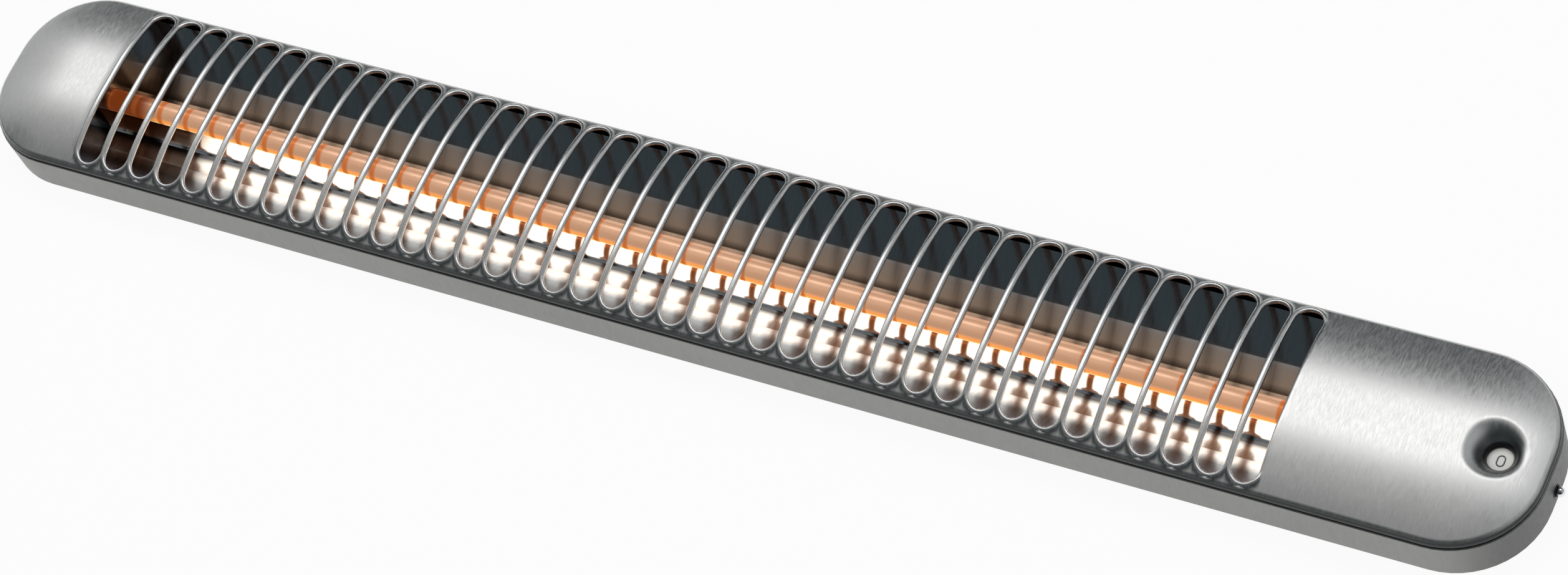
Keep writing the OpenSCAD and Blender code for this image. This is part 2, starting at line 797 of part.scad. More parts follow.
module switched_wire() {
    tip = cutout_tip(-1);
    color([0.2, 0.2, 0.2]) wire([
        [blade_x0 - seat_gap, -blade_y - blade_t / 2, blade_z],
        [blade_x0 - wire_room, -blade_y - blade_t / 2, blade_z],
        [tip[0] + 2 * wire_room, tip[1], blade_z], tip - [wire_d / 2 - seat_gap, 0, 0]
    ]);
}

module tube_wire() {
    tip = cutout_tip(1);
    pin_x = trough_x1 + panel_t + cap_gap + cap_l + pin_l;
    color([0.9, 0.9, 0.88]) wire([
        tip - [wire_d / 2 - seat_gap, 0, 0], tip + [wire_end, 0, 0],
        [pin_x + wire_end, -wire_room, tube_z], [pin_x + wire_end, 0, tube_z],
        [pin_x + seat_gap, 0, tube_z]
    ]);
}

module return_wire() {
    pin_x = trough_x0 - panel_t - cap_gap - cap_l - pin_l;
    end_x = trough_x1 + panel_t + foot_l;
    color([0.15, 0.3, 0.6]) wire([
        [pin_x - seat_gap, 0, tube_z], [pin_x - wire_room, 0, tube_z],
        [pin_x - wire_room, gutter_y - 3 * wire_room, gutter_z],
        [pin_x + 2 * wire_room, gutter_y, gutter_z], [end_x + wire_room, gutter_y, gutter_z],
        [end_x + 2 * wire_room, block_y0 - wire_room, gutter_z], pole_exit(0), pole_start(0)
    ]);
}

module earth_wire() {
    pass_x = wall_hole_right_x - 3 * wire_room;
    color([0.35, 0.6, 0.2]) wire([
        pole_start(1), pole_exit(1), [pole_x(1), block_y0 - 3 * wire_room, lead_z],
        [pass_x, 3 * wire_room, lead_z], [pass_x, -3 * wire_room, lead_z],
        [earth_x - 3 * wire_room, earth_y, lead_z],
        [earth_x - earth_nut_r - seat_gap, earth_y, lead_z]
    ]);
}

module wire_clips() {
    ring_r = wire_d / 2 + seat_gap;
    color([0.9, 0.9, 0.86]) for (i = [0:clip_count - 1]) {
        x = trough_x0 + trough_l * (i + wire_clip_share) / clip_count;
        along_x(x - wire_clip_l / 2, x + wire_clip_l / 2) difference() {
            union() {
                translate([gutter_y, gutter_z]) circle(ring_r + wire_clip_t);
                translate([gutter_y - ring_r - wire_clip_t, floor_t])
                    square([2 * (ring_r + wire_clip_t), gutter_z - floor_t]);
            }
            translate([gutter_y, gutter_z]) circle(ring_r);
        }
    }
}

// Housing of the switch: an open box with two ears
module switch_base() {
    box_l = housing_x1 - housing_x0;
    top = housing_z1 - housing_z0;
    rib_y = rack_y1 + fit_gap;
    color([0.88, 0.87, 0.83]) difference() {
        union() {
            translate([housing_x0, -housing_y, housing_z0]) cube([box_l, 2 * housing_y, top]);
            for (side = [-1, 1]) translate([ear_x, side * ear_y, housing_z0]) {
                cylinder(r = ear_r, h = ear_t);
                translate([-ear_r, side > 0 ? -ear_r : 0, 0]) cube([2 * ear_r, ear_r, ear_t]);
            }
        }
        difference() {
            translate([housing_x0 + housing_wall, -housing_y + housing_wall, housing_z0 + housing_floor])
                cube([box_l - 2 * housing_wall, 2 * (housing_y - housing_wall), top]);
            translate([housing_x0, -rib_y - housing_wall, housing_z0])
                cube([cross_x0 - housing_x0, housing_wall, gear_z1 - housing_z0]);
            translate([housing_x0, -rack_y1, housing_z0])
                cube([housing_x1 - housing_x0, rack_back - seat_gap, gear_z0 - run_gap - housing_z0]);
            translate([shaft_x, 0, housing_z0]) cylinder(r = hub_r, h = gear_z0 - run_gap - housing_z0);
        }
        translate([shaft_x, 0, housing_z0 + housing_floor / 2])
            cylinder(r = shaft_r + run_gap, h = top);
        translate([housing_x1 - 2 * housing_wall, 0, pull_z]) rotate([0, 90, 0])
            cylinder(r = rod_d / 2 + run_gap, h = 4 * housing_wall);
        for (side = [-1, 1]) {
            translate([ear_x, side * ear_y, housing_z0 - cut])
                cylinder(r = m3_r + seat_gap, h = ear_t + 2 * cut);
            translate([housing_x0 - cut, side * (blade_y + blade_t / 2) - blade_t / 2 - seat_gap,
                       cam_z0 + seat_gap / 2])
                cube([housing_wall + 2 * cut, blade_t + 2 * seat_gap, top]);
        }
    }
}

module switch_lid() {
    color([0.84, 0.83, 0.79]) difference() {
        translate([housing_x0, -housing_y, housing_z1])
            cube([housing_x1 - housing_x0, 2 * housing_y, lid_t]);
        translate([shaft_x, 0, housing_z1 - cut]) cylinder(r = shaft_r + run_gap, h = lid_t + 2 * cut);
    }
}

module switch_screws() {
    color([0.75, 0.75, 0.72]) for (side = [-1, 1])
        translate([ear_x, side * ear_y, housing_z0 + ear_t])
            pan_screw(m3_r - seat_gap, m3_head_r, m3_head_h, ear_t + floor_bite);
}

// Half thickness of a rack tooth at a height above its pitch line
function rack_half(h) = gear_m * PI / 4 - backlash / 4 - h * tan(pressure_angle);

module pull_rod() {
    tooth_pitch = gear_m * PI;
    first = -ceil((pull_travel + 2 * gear_m) / tooth_pitch);
    last = floor((cross_x0 - shaft_x) / tooth_pitch - 1);
    rack_x0 = shaft_x + (first - 0.2) * tooth_pitch;
    root = -dedendum - run_gap;
    color([0.72, 0.73, 0.75]) {
        translate([0, 0, gear_z0]) linear_extrude(gear_w) {
            translate([rack_x0, -rack_y1]) square([cross_x1 - rack_x0, rack_back]);
            for (i = [first:last]) translate([shaft_x + (i + 0.5) * tooth_pitch, -pitch_r])
                polygon([
                    [-rack_half(root), root], [rack_half(root), root],
                    [rack_half(addendum), addendum], [-rack_half(addendum), addendum]
                ]);
            translate([cross_x0, -rack_y1]) square([cross_t, rack_y1 + rod_d]);
        }
        translate([cross_x0 + cross_t / 2, 0, pull_z]) rotate([0, 90, 0])
            cylinder(d = rod_d, h = ball_x - cross_x0 - cross_t / 2);
    }
}

module pull_ball() {
    color([0.8, 0.8, 0.82]) difference() {
        translate([ball_x, 0, pull_z]) sphere(d = ball_d);
        translate([ball_x - ball_d, 0, pull_z]) rotate([0, 90, 0])
            cylinder(d = rod_d + seat_gap / 2, h = ball_d + seat_gap / 4);
    }
}

module pull_bush() {
    inner_x = half_l - sheet_t - seat_gap / 2;
    pocket_r = ball_d / 2 + fit_gap;
    pocket_x = ball_x - ball_d / 2 - seat_gap;
    color([0.12, 0.12, 0.12]) translate([0, 0, pull_z]) rotate([0, 90, 0]) difference() {
        union() {
            translate([0, 0, inner_x - bush_flange_t]) cylinder(r = bush_flange_r, h = bush_flange_t);
            translate([0, 0, inner_x - bush_flange_t])
                cylinder(r = bush_r - seat_gap / 2, h = half_l + bush_out - inner_x + bush_flange_t);
        }
        translate([0, 0, inner_x - bush_flange_t - cut])
            cylinder(r = rod_d / 2 + run_gap, h = bush_flange_t + sheet_t + bush_out + 2 * cut);
        translate([0, 0, pocket_x]) cylinder(r = pocket_r, h = half_l);
    }
}

// A helix on the rod: each turn has a few rings, and each ring a few sides
module return_spring() {
    sides = 6;
    per_turn = 10;
    rings = spring_turns * per_turn;
    x0 = cross_x1 + seat_gap / 2 + spring_wire / 2;
    run = spring_rest_l - seat_gap - spring_wire;
    points = [
        for (k = [0:rings], s = [0:sides - 1])
            let (a = 360 * k / per_turn, b = 360 * s / sides, r = spring_r + spring_wire / 2 * cos(b))
            [x0 + run * k / rings + spring_wire / 2 * sin(b), r * cos(a), pull_z + r * sin(a)]
    ];
    faces = concat(
        [[for (s = [0:sides - 1]) s]],
        [for (k = [0:rings - 1], s = [0:sides - 1])
            let (t = (s + 1) % sides, p = k * sides, q = p + sides) [p + s, q + s, q + t, p + t]],
        [[for (s = [sides - 1:-1:0]) rings * sides + s]]
    );
    color([0.75, 0.76, 0.78]) polyhedron(points = points, faces = faces, convexity = 10);
}

// Involute of the base circle, unrolled by an angle in degrees
function involute(base_r, a) =
    base_r * [cos(a) + a * PI / 180 * sin(a), sin(a) - a * PI / 180 * cos(a)];
function unroll_at(base_r, r) = sqrt(max(0, (r / base_r) * (r / base_r) - 1)) * 180 / PI;

// One tooth of the pinion, pointing along +X
module pinion_tooth() {
    steps = 5;
    base_r = pitch_r * cos(pressure_angle);
    tip_r = pitch_r + addendum;
    at_pitch = involute(base_r, unroll_at(base_r, pitch_r));
    half_tooth = 90 / pinion_teeth - backlash / 4 / pitch_r * 180 / PI;
    turn = -atan2(at_pitch[1], at_pitch[0]) - half_tooth;
    flank = [
        for (k = [0:steps])
            let (r = base_r + (tip_r - base_r) * k / steps, p = involute(base_r, unroll_at(base_r, r)))
            [p[0] * cos(turn) - p[1] * sin(turn), p[0] * sin(turn) + p[1] * cos(turn)]
    ];
    root = [pitch_r - dedendum - backlash, flank[0][1] * 1.05];
    polygon(concat(
        [root], flank, [for (k = [steps:-1:0]) [flank[k][0], -flank[k][1]]], [[root[0], -root[1]]]
    ));
}

module drive_pinion() {
    finger_arc = 110;
    color([0.35, 0.5, 0.6]) translate([shaft_x, 0, 0]) {
        difference() {
            translate([0, 0, gear_z0]) linear_extrude(gear_w) {
                circle(pitch_r - dedendum);
                for (i = [0:pinion_teeth - 1]) rotate(360 / pinion_teeth * i) pinion_tooth();
            }
            translate([0, 0, gear_z0 - cut]) cylinder(r = shaft_r + run_gap, h = gear_w + 2 * cut);
        }
        for (side = [0, 180]) rotate([0, 0, side])
            rotate_extrude(angle = finger_arc)
                translate([finger_in_r, gear_z1]) square([finger_out_r - finger_in_r, wheel_h]);
    }
}

// A saw-toothed wheel: each tooth falls from its tip to a root just before the next
module ratchet_wheel() {
    step = 360 / wheel_teeth;
    root_share = 0.8;
    color([0.85, 0.8, 0.65]) translate([shaft_x, 0, wheel_z0]) linear_extrude(wheel_h) difference() {
        polygon([
            for (i = [0:wheel_teeth - 1], share = [0, root_share])
                let (r = share == 0 ? wheel_tip_r : wheel_root_r, a = step * (i + share))
                r * [cos(a), sin(a)]
        ]);
        circle(shaft_r + seat_gap / 4);
    }
}

module contact_cam() {
    color([0.9, 0.85, 0.6]) translate([shaft_x, 0, cam_z0]) linear_extrude(cam_h) difference() {
        union() {
            circle(cam_base_r);
            for (i = [0:cam_lobes - 1]) rotate(360 / cam_lobes * i)
                translate([cam_base_r, 0]) circle(cam_lobe_r);
        }
        circle(shaft_r + seat_gap / 4);
    }
}

module contact_blades() {
    color([0.8, 0.6, 0.35]) for (side = [-1, 1])
        translate([blade_x0, side * (blade_y + blade_t / 2) - blade_t / 2, cam_z0 + seat_gap])
            cube([shaft_x + cam_reach - blade_x0, blade_t, blade_h]);
}

module switch_shaft() {
    color([0.7, 0.71, 0.73]) translate([shaft_x, 0, housing_z0 + housing_floor / 2 + run_gap])
        cylinder(r = shaft_r, h = disc_z0 + disc_t - housing_z0 - housing_floor / 2 - run_gap);
}

module indicator_disc() {
    color([0.9, 0.9, 0.87]) translate([shaft_x, 0, disc_z0]) difference() {
        union() {
            cylinder(r = disc_r, h = disc_t);
            translate([0, 0, housing_z1 + lid_t + seat_gap - disc_z0])
                cylinder(r = hub_r, h = disc_z0 - housing_z1 - lid_t - seat_gap);
        }
        translate([0, 0, housing_z1 - disc_z0]) cylinder(r = shaft_r + seat_gap / 4, h = case_h);
    }
}

// A plain nought as a ring with straight sides
module nought() {
    module oval(r) {
        square([2 * r, numeral_h - numeral_w], center = true);
        for (side = [-1, 1]) translate([0, side * (numeral_h - numeral_w) / 2]) circle(r);
    }
    difference() {
        oval(numeral_w / 2);
        oval(numeral_w / 2 - numeral_line);
    }
}

module disc_numerals() {
    color([0.35, 0.36, 0.37]) translate([shaft_x, 0, disc_z0 + disc_t])
        linear_extrude(numeral_t) for (i = [0:wheel_teeth - 1])
            rotate(360 / wheel_teeth * i) translate([numeral_ring_r, 0])
                if (i % 2 == 0) nought();
                else square([numeral_line, numeral_h], center = true);
}

// A leaf clip pinched between the tray wall and the cover's flange
module cover_clips() {
    leaf = fit_gap - seat_gap / 2;
    color([0.7, 0.72, 0.74]) for (i = [0:clip_count / 2 - 1], side = [0, 1]) mirror([0, side, 0]) {
        x = trough_x0 + trough_l * (i + 0.5) / (clip_count / 2) - cover_clip_l / 2;
        translate([x, half_w - sheet_t - fit_gap + seat_gap / 4, flange_z0 - seat_gap])
            cube([cover_clip_l, leaf, cover_clip_h]);
        translate([x, flange_in - leaf, flange_z0 - seat_gap - leaf])
            cube([cover_clip_l, sheet_t + fit_gap + leaf - seat_gap / 4, leaf]);
    }
}

// Locking screws, their heads flush in the tray wall and seated on the cover's flange
module cover_screws() {
    color([0.78, 0.78, 0.77]) for (x = lock_x)
        translate([x, half_w - sheet_t - fit_gap, lock_z]) rotate([-90, 0, 0])
            pan_screw(lock_r, lock_head_r, sheet_t + fit_gap, sheet_t + nut_t);
}

module cover_nuts() {
    color([0.7, 0.71, 0.73]) for (x = lock_x)
        translate([x, flange_in - seat_gap / 2, lock_z]) rotate([90, 0, 0]) difference() {
            cylinder(r = nut_r, h = nut_t, $fn = 6);
            translate([0, 0, -cut]) cylinder(r = lock_r + seat_gap / 4, h = nut_t + 2 * cut);
        }
}

// Moves a piece from the middle of the case to the model's origin
module placed() {
    translate([-origin_x, 0, 0]) children();
}

placed() front_cover();
placed() rear_tray();
placed() reflector();
placed() reflector_end_left();
placed() reflector_end_right();
placed() heat_shield();
placed() reflector_brackets();
placed() quartz_tube();
placed() heating_coil();
placed() tube_cap_left();
placed() tube_cap_right();
placed() cap_clips();
placed() panel_screws();
placed() thermal_cutout();
placed() cutout_screws();
placed() terminal_block();
placed() terminal_inserts();
placed() terminal_screws();
placed() cable_grommet();
placed() earth_screw();
placed() live_wire();
placed() switched_wire();
placed() tube_wire();
placed() return_wire();
placed() earth_wire();
placed() wire_clips();
placed() switch_base();
placed() switch_lid();
placed() switch_screws();
placed() pull_rod();
placed() pull_ball();
placed() pull_bush();
placed() return_spring();
placed() drive_pinion();
placed() ratchet_wheel();
placed() contact_cam();
placed() contact_blades();
placed() switch_shaft();
placed() indicator_disc();
placed() disc_numerals();
placed() cover_clips();
placed() cover_screws();
placed() cover_nuts();
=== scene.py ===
"""Electric bar heater: its pressed cover, reflector and glowing tube, every finish, and the light.

Lengths are in metres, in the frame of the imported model: X runs along the case towards the pull
ball, Y runs across it and Z leaves the wall. Shapes are worked out as numpy arrays on grids.
"""
import json
import math

import bmesh
import bpy
import numpy as np
from mathutils import Matrix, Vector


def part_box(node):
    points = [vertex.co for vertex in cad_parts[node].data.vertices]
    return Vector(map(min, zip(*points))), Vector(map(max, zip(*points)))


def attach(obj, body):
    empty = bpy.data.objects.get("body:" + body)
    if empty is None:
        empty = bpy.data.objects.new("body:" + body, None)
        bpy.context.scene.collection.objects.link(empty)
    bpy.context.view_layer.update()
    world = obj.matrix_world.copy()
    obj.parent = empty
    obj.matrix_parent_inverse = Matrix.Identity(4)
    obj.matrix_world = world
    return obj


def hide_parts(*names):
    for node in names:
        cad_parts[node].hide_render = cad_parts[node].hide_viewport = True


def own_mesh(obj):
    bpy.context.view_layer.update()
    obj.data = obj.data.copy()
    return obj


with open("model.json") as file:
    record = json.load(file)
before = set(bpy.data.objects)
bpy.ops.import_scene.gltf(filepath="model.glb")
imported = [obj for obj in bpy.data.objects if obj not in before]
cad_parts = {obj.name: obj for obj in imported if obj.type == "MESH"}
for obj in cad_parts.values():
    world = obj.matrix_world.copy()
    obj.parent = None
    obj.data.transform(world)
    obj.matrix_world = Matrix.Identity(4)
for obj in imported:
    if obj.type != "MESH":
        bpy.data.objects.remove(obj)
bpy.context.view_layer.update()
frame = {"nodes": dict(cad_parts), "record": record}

# Cover: its plan and the two arcs of its dome. Names in U are distances out from the flat core
cover_low, cover_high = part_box("front_cover")
SHEET_T = 0.0012
DOME_U = 0.0360
EDGE_R = 0.0030
GROOVE_H = 0.0010
EDGE_RISE = 0.0005
EDGE_U = DOME_U - EDGE_R
MID_X = (cover_low.x + cover_high.x) / 2
FLAT_X = (cover_high.x - cover_low.x) / 2 - DOME_U
FLAT_Y = (cover_high.y - cover_low.y) / 2 - DOME_U
CROWN_Z = cover_high.z
FOOT_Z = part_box("rear_tray")[1].z + GROOVE_H
EDGE_Z = FOOT_Z + EDGE_RISE
DOME_RISE = CROWN_Z - EDGE_Z
MAIN_R = (EDGE_U ** 2 + DOME_RISE ** 2 - EDGE_R ** 2) / (2 * (DOME_RISE - EDGE_R))
MAIN_Z = CROWN_Z - MAIN_R
EDGE_SLOPE = math.atan2(EDGE_U, EDGE_Z - MAIN_Z)
TANGENT_U = EDGE_U + EDGE_R * math.sin(EDGE_SLOPE)
SHEET_U = 0.03405
SHEET_Y = FLAT_Y + SHEET_U
FLANGE_OUT_U = 0.0350
FLANGE_IN_U = FLANGE_OUT_U - SHEET_T

# Slots and their rolled lips: a lip stands proud of the dome, falls to it within LIP_FALL, is
# sampled at LIP_SHARES of that way, and runs out beyond the last slot
SLOT_COUNT = 40
PITCH = 0.0140
SLOT_R = 0.0056
SLOT_C = 0.03325
SLOTS_X0 = -0.3033
SLOTS_X1 = SLOTS_X0 + SLOT_COUNT * PITCH
LAST_SLOT_X = SLOTS_X1 - PITCH / 2
ROLL_R = PITCH / 2 - SLOT_R
LIP_PROUD = 0.0008
LIP_FALL = 0.0013
LIP_SHARES = np.array([0, 0.24, 0.48, 0.74, 1.0])
LIP_END_GAP = 0.0015
LIP_END_WIDTH = 0.0035
LIP_END_TURN = 0.0050

# Dimple and window over the indicator disc
DIMPLE_X = 0.3395
DIMPLE_R = 0.0105
WINDOW_R = 0.0052
WINDOW_Z = 0.0212
DIMPLE_SOFT = 0.0042
DIMPLE_REACH = 1.42 * DIMPLE_R
RAY_SPREAD = 1.3

# Where the cover's grids meet: plain strips beside the row of slots, and the right end's edge
LEFT_STRIP = 0.0040
RIGHT_STRIP = 0.0060
NOSE_X = 0.3050

# Points nearer than WELD are one point. TINY keeps divisions and comparisons safe
WELD = 2e-6
TINY = 1e-9

# Reflector trough: its corners on one side, its folds and its sheet
TROUGH_FLAT_Y = 0.0110
TROUGH_FOLD_Y = 0.0220
TROUGH_FOLD_Z = 0.0080
FOLD_R = 0.0012
REFLECTOR_T = 0.0006

# Tube, coil and return spring
TUBE_WALL = 0.0010
TUBE_LIP = 0.0003
LIT_X0 = -0.2960
COIL_WIRE_R = 0.0004
COIL_TURNS = 150
SPRING_WIRE_R = 0.00025
SPRING_TURNS = 8
SPRING_CLOSED_SHARE = 0.06

# Fineness of the grids, as counts of samples
CONE_STEPS = 15
RAY_STEPS = 9
EDGE_STEPS = 9
TROUGH_STEPS = 42
TUBE_STEPS = 30
BALL_STEPS = 33
TURNED_SIDES = 64


def smooth(t):
    """Cubic step: 0 below 0, 1 above 1, and 3t^2 - 2t^3 between."""
    t = np.clip(t, 0, 1)
    return t * t * (3 - 2 * t)


def soft_min(a, b, width):
    """The lower of two heights, their crossing rounded off by a parabola as wide as given."""
    share = np.clip(width - np.abs(a - b), 0, None) / width
    return np.minimum(a, b) - share * share * width / 4


def dome_height(x, y):
    """Plain dome: a large arc over u, the distance out from the plan's flat core, and a small
    arc from the point where both have one tangent to the side."""
    u = np.hypot(np.maximum(np.abs(x) - FLAT_X, 0), np.maximum(np.abs(y) - FLAT_Y, 0))
    main = MAIN_Z + np.sqrt(MAIN_R ** 2 - np.minimum(u, TANGENT_U) ** 2)
    edge = EDGE_Z + np.sqrt(np.maximum(EDGE_R ** 2 - (u - EDGE_U) ** 2, 0))
    return np.where(u <= TANGENT_U, main, edge)


def slot_distance(x, y):
    """Distance to the edge of the nearest slot, which is a stadium about its centre line."""
    number = np.clip(np.round((x - SLOTS_X0) / PITCH - 0.5), 0, SLOT_COUNT - 1)
    centre = SLOTS_X0 + (number + 0.5) * PITCH
    return np.hypot(x - centre, np.maximum(np.abs(y) - SLOT_C, 0)) - SLOT_R


def lip_share(x, y):
    """1 at every lip, falling to 0 along the plain outer edge of the last slot."""
    beyond = smooth((x - LAST_SLOT_X - LIP_END_GAP) / LIP_END_WIDTH)
    return 1 - beyond * (1 - smooth((np.abs(y) - SLOT_C) / LIP_END_TURN))


def lip_fall(x, y):
    """Half a cosine from 1 at the crest of a lip to 0 where it meets the plain sheet."""
    past = np.clip((slot_distance(x, y) - ROLL_R) / LIP_FALL, 0, 1)
    return 0.5 + 0.5 * np.cos(math.pi * past)


def cone_slope():
    """Fall of the dimple's cone per metre: from the dome's height over its centre, met at the
    dimple's radius, to the window's edge."""
    centre_z = float(dome_height(np.array(DIMPLE_X), np.array(0.0)))
    return (centre_z - WINDOW_Z) / (DIMPLE_R - WINDOW_R)


def dimple_cone(x, y):
    """Height of the cone round the window: its edge height plus slope times distance from it."""
    return WINDOW_Z + cone_slope() * (np.hypot(x - DIMPLE_X, y) - WINDOW_R)


def outer_face(x, y):
    """Top of the sheet: dome plus lip, cut into by the dimple's cone."""
    lifted = dome_height(x, y) + LIP_PROUD * lip_share(x, y) * lip_fall(x, y)
    return soft_min(lifted, dimple_cone(x, y), DIMPLE_SOFT)


def inner_face(x, y):
    """Underside of the sheet, one thickness in and as deep as the roll beside a slot."""
    roll = 2 * ROLL_R - LIP_PROUD * lip_share(x, y) - SHEET_T
    under = dome_height(x, y) - SHEET_T - roll * lip_fall(x, y)
    cone = dimple_cone(x, y) - SHEET_T * math.hypot(1, cone_slope())
    return np.maximum(soft_min(under, cone, DIMPLE_SOFT), WINDOW_Z - SHEET_T)


def grid_faces(rows, cols, close_rows=False, close_cols=False):
    """Quads between the points of a grid that is numbered row by row."""
    row, col = np.meshgrid(np.arange(rows - (not close_rows)),
                           np.arange(cols - (not close_cols)), indexing="ij")
    next_row, next_col = (row + 1) % rows, (col + 1) % cols
    quads = [row * cols + col, row * cols + next_col,
             next_row * cols + next_col, next_row * cols + col]
    return np.stack(quads, -1).reshape(-1, 4)


def grid(x, y, z, close_rows=False, close_cols=False):
    """Points and faces of a surface given by three arrays of one shape."""
    x, y, z = np.broadcast_arrays(x, y, z)
    points = np.stack([x, y, z], -1).reshape(-1, 3)
    return points, grid_faces(*x.shape, close_rows, close_cols)


def grids(x, y, z, close_cols=False):
    """The same for a stack of surfaces: the first axis counts them."""
    x, y, z = np.broadcast_arrays(x, y, z)
    count, rows, cols = x.shape
    faces = grid_faces(rows, cols, False, close_cols)
    offsets = np.arange(count)[:, None, None] * rows * cols
    return np.stack([x, y, z], -1).reshape(-1, 3), (faces[None] + offsets).reshape(-1, 4)


def make_piece(name, parts, material, body="case", sharp_deg=35):
    """One closed object from several grids: shared edges are welded, the ends that shrink to a
    point lose their empty faces, and all faces are turned outwards."""
    starts = np.cumsum([0] + [len(points) for points, _ in parts[:-1]])
    points = np.concatenate([points for points, _ in parts])
    faces = np.concatenate([faces + start for (_, faces), start in zip(parts, starts)])
    mesh = bpy.data.meshes.new(name)
    mesh.from_pydata(points.tolist(), [], faces.tolist())
    shell = bmesh.new()
    shell.from_mesh(mesh)
    bmesh.ops.remove_doubles(shell, verts=shell.verts, dist=WELD)
    bmesh.ops.dissolve_degenerate(shell, edges=shell.edges, dist=WELD)
    bmesh.ops.recalc_face_normals(shell, faces=shell.faces)
    shell.to_mesh(mesh)
    shell.free()
    mesh.shade_smooth()
    mesh.set_sharp_from_angle(angle=math.radians(sharp_deg))
    mesh.materials.append(material)
    piece = bpy.data.objects.new(name, mesh)
    bpy.context.scene.collection.objects.link(piece)
    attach(piece, body)
    return piece


# Samples that neighbouring grids of the cover share. A linspace ends with its count of samples
COLLAR_ANGLE = math.atan2(SHEET_Y - SLOT_C, PITCH / 2)
QUARTER = np.concatenate([np.linspace(0, COLLAR_ANGLE, 6),
                          np.linspace(COLLAR_ANGLE, math.pi / 2, 6)[1:]])
HALF_TURN = np.concatenate([QUARTER, math.pi - QUARTER[-2::-1]])
MID_Y = np.linspace(-FLAT_Y, FLAT_Y, 5)
STRAIGHT_Y = np.concatenate([np.linspace(-SLOT_C, -FLAT_Y, 9)[:-1], MID_Y,
                             np.linspace(FLAT_Y, SLOT_C, 9)[1:]])
COLLAR_Y = SLOT_C + PITCH / 2 * np.tan(QUARTER[1:6])
BOUND_Y = np.concatenate([-COLLAR_Y[::-1], STRAIGHT_Y, COLLAR_Y])
LIP_STEPS = LIP_SHARES * LIP_FALL
LEFT_X = np.concatenate([np.linspace(-FLAT_X, SLOTS_X0 - LEFT_STRIP, 5),
                         SLOTS_X0 - LIP_STEPS[::-1]])
RIGHT_X = np.concatenate([SLOTS_X1 + LIP_STEPS, np.linspace(SLOTS_X1 + RIGHT_STRIP, NOSE_X, 8)])
NOSE_TOP_X = np.linspace(NOSE_X, FLAT_X, 6)
CORNER = np.radians(np.linspace(0, 90, 15))


def slot_centres():
    """X of every slot's centre line: half a pitch in, then one pitch from slot to slot."""
    return SLOTS_X0 + (np.arange(SLOT_COUNT) + 0.5) * PITCH


def slot_rolls():
    """Rolled lips. Round each stadium, half a circle of radius ROLL_R runs from the underside
    past the slot's edge up to the crest that two neighbouring slots share."""
    ends = HALF_TURN[1:-1]
    along = np.concatenate([STRAIGHT_Y, np.full(len(ends), SLOT_C),
                            STRAIGHT_Y[::-1], np.full(len(ends), -SLOT_C)])
    turn = np.concatenate([np.zeros(len(STRAIGHT_Y)), ends,
                           np.full(len(STRAIGHT_Y), math.pi), math.pi + ends])
    phi = np.radians(np.concatenate([np.linspace(-90, 0, 5), np.linspace(0, 90, 6)[1:]]))
    out = (SLOT_R + ROLL_R * (1 - np.cos(phi)))[:, None]
    x = slot_centres()[:, None, None] + out * np.cos(turn)
    y = along + out * np.sin(turn) + 0 * x
    lift = LIP_PROUD * lip_share(x, y) + ROLL_R * (np.sin(phi)[:, None] - 1)
    return grids(x, y, dome_height(x, y) + lift, close_cols=True)


def slot_collars(face, side, steps):
    """Sheet round one end of every slot: rays from the centre of the round end, from the crest
    of the lip out to the box that the slot has to itself."""
    reach = np.minimum(PITCH / 2 / np.maximum(np.abs(np.cos(HALF_TURN)), TINY),
                       (SHEET_Y - SLOT_C) / np.maximum(np.sin(HALF_TURN), TINY))
    share = np.linspace(0, 1, steps)[:, None]
    out = PITCH / 2 + share * (reach - PITCH / 2)
    x = slot_centres()[:, None, None] + out * np.cos(HALF_TURN)
    y = side * (SLOT_C + out * np.sin(HALF_TURN)) + 0 * x
    return grids(x, y, face(x, y))


def sheet_patch(face, x, y, close_cols=False):
    """Rectangular or polar patch of the sheet: its plan on a grid, its height from the face."""
    x, y = np.broadcast_arrays(x, y)
    return grid(x, y, face(x, y), close_cols=close_cols)


def left_end(face):
    """Left end: a rectangle, a quarter disc at each corner and a strip between them."""
    radius = (BOUND_Y[BOUND_Y > FLAT_Y - TINY] - FLAT_Y)[:, None]
    patches = [sheet_patch(face, LEFT_X, BOUND_Y[:, None]),
               sheet_patch(face, -FLAT_X - radius, MID_Y)]
    for side in (-1, 1):
        patches.append(sheet_patch(face, -FLAT_X - radius * np.sin(CORNER),
                                   side * (FLAT_Y + radius * np.cos(CORNER))))
    return patches


def nose_outline():
    """Edge of the right end round the dimple, anticlockwise from its upper left corner."""
    turn = CORNER - math.pi / 2
    along, across = NOSE_TOP_X[1:-1], MID_Y[1:-1]
    x = np.concatenate([np.full(len(BOUND_Y), NOSE_X), along, FLAT_X + SHEET_U * np.cos(turn),
                        np.full(len(across), FLAT_X + SHEET_U),
                        FLAT_X + SHEET_U * np.cos(CORNER), along[::-1]])
    y = np.concatenate([BOUND_Y[::-1], np.full(len(along), -SHEET_Y),
                        -FLAT_Y + SHEET_U * np.sin(turn), across,
                        FLAT_Y + SHEET_U * np.sin(CORNER), np.full(len(along), SHEET_Y)])
    return x, y


def nose_rays():
    """Directions from the window's centre to the edge of the right end, and the distances."""
    x, y = nose_outline()
    return np.arctan2(y, x - DIMPLE_X), np.hypot(x - DIMPLE_X, y)


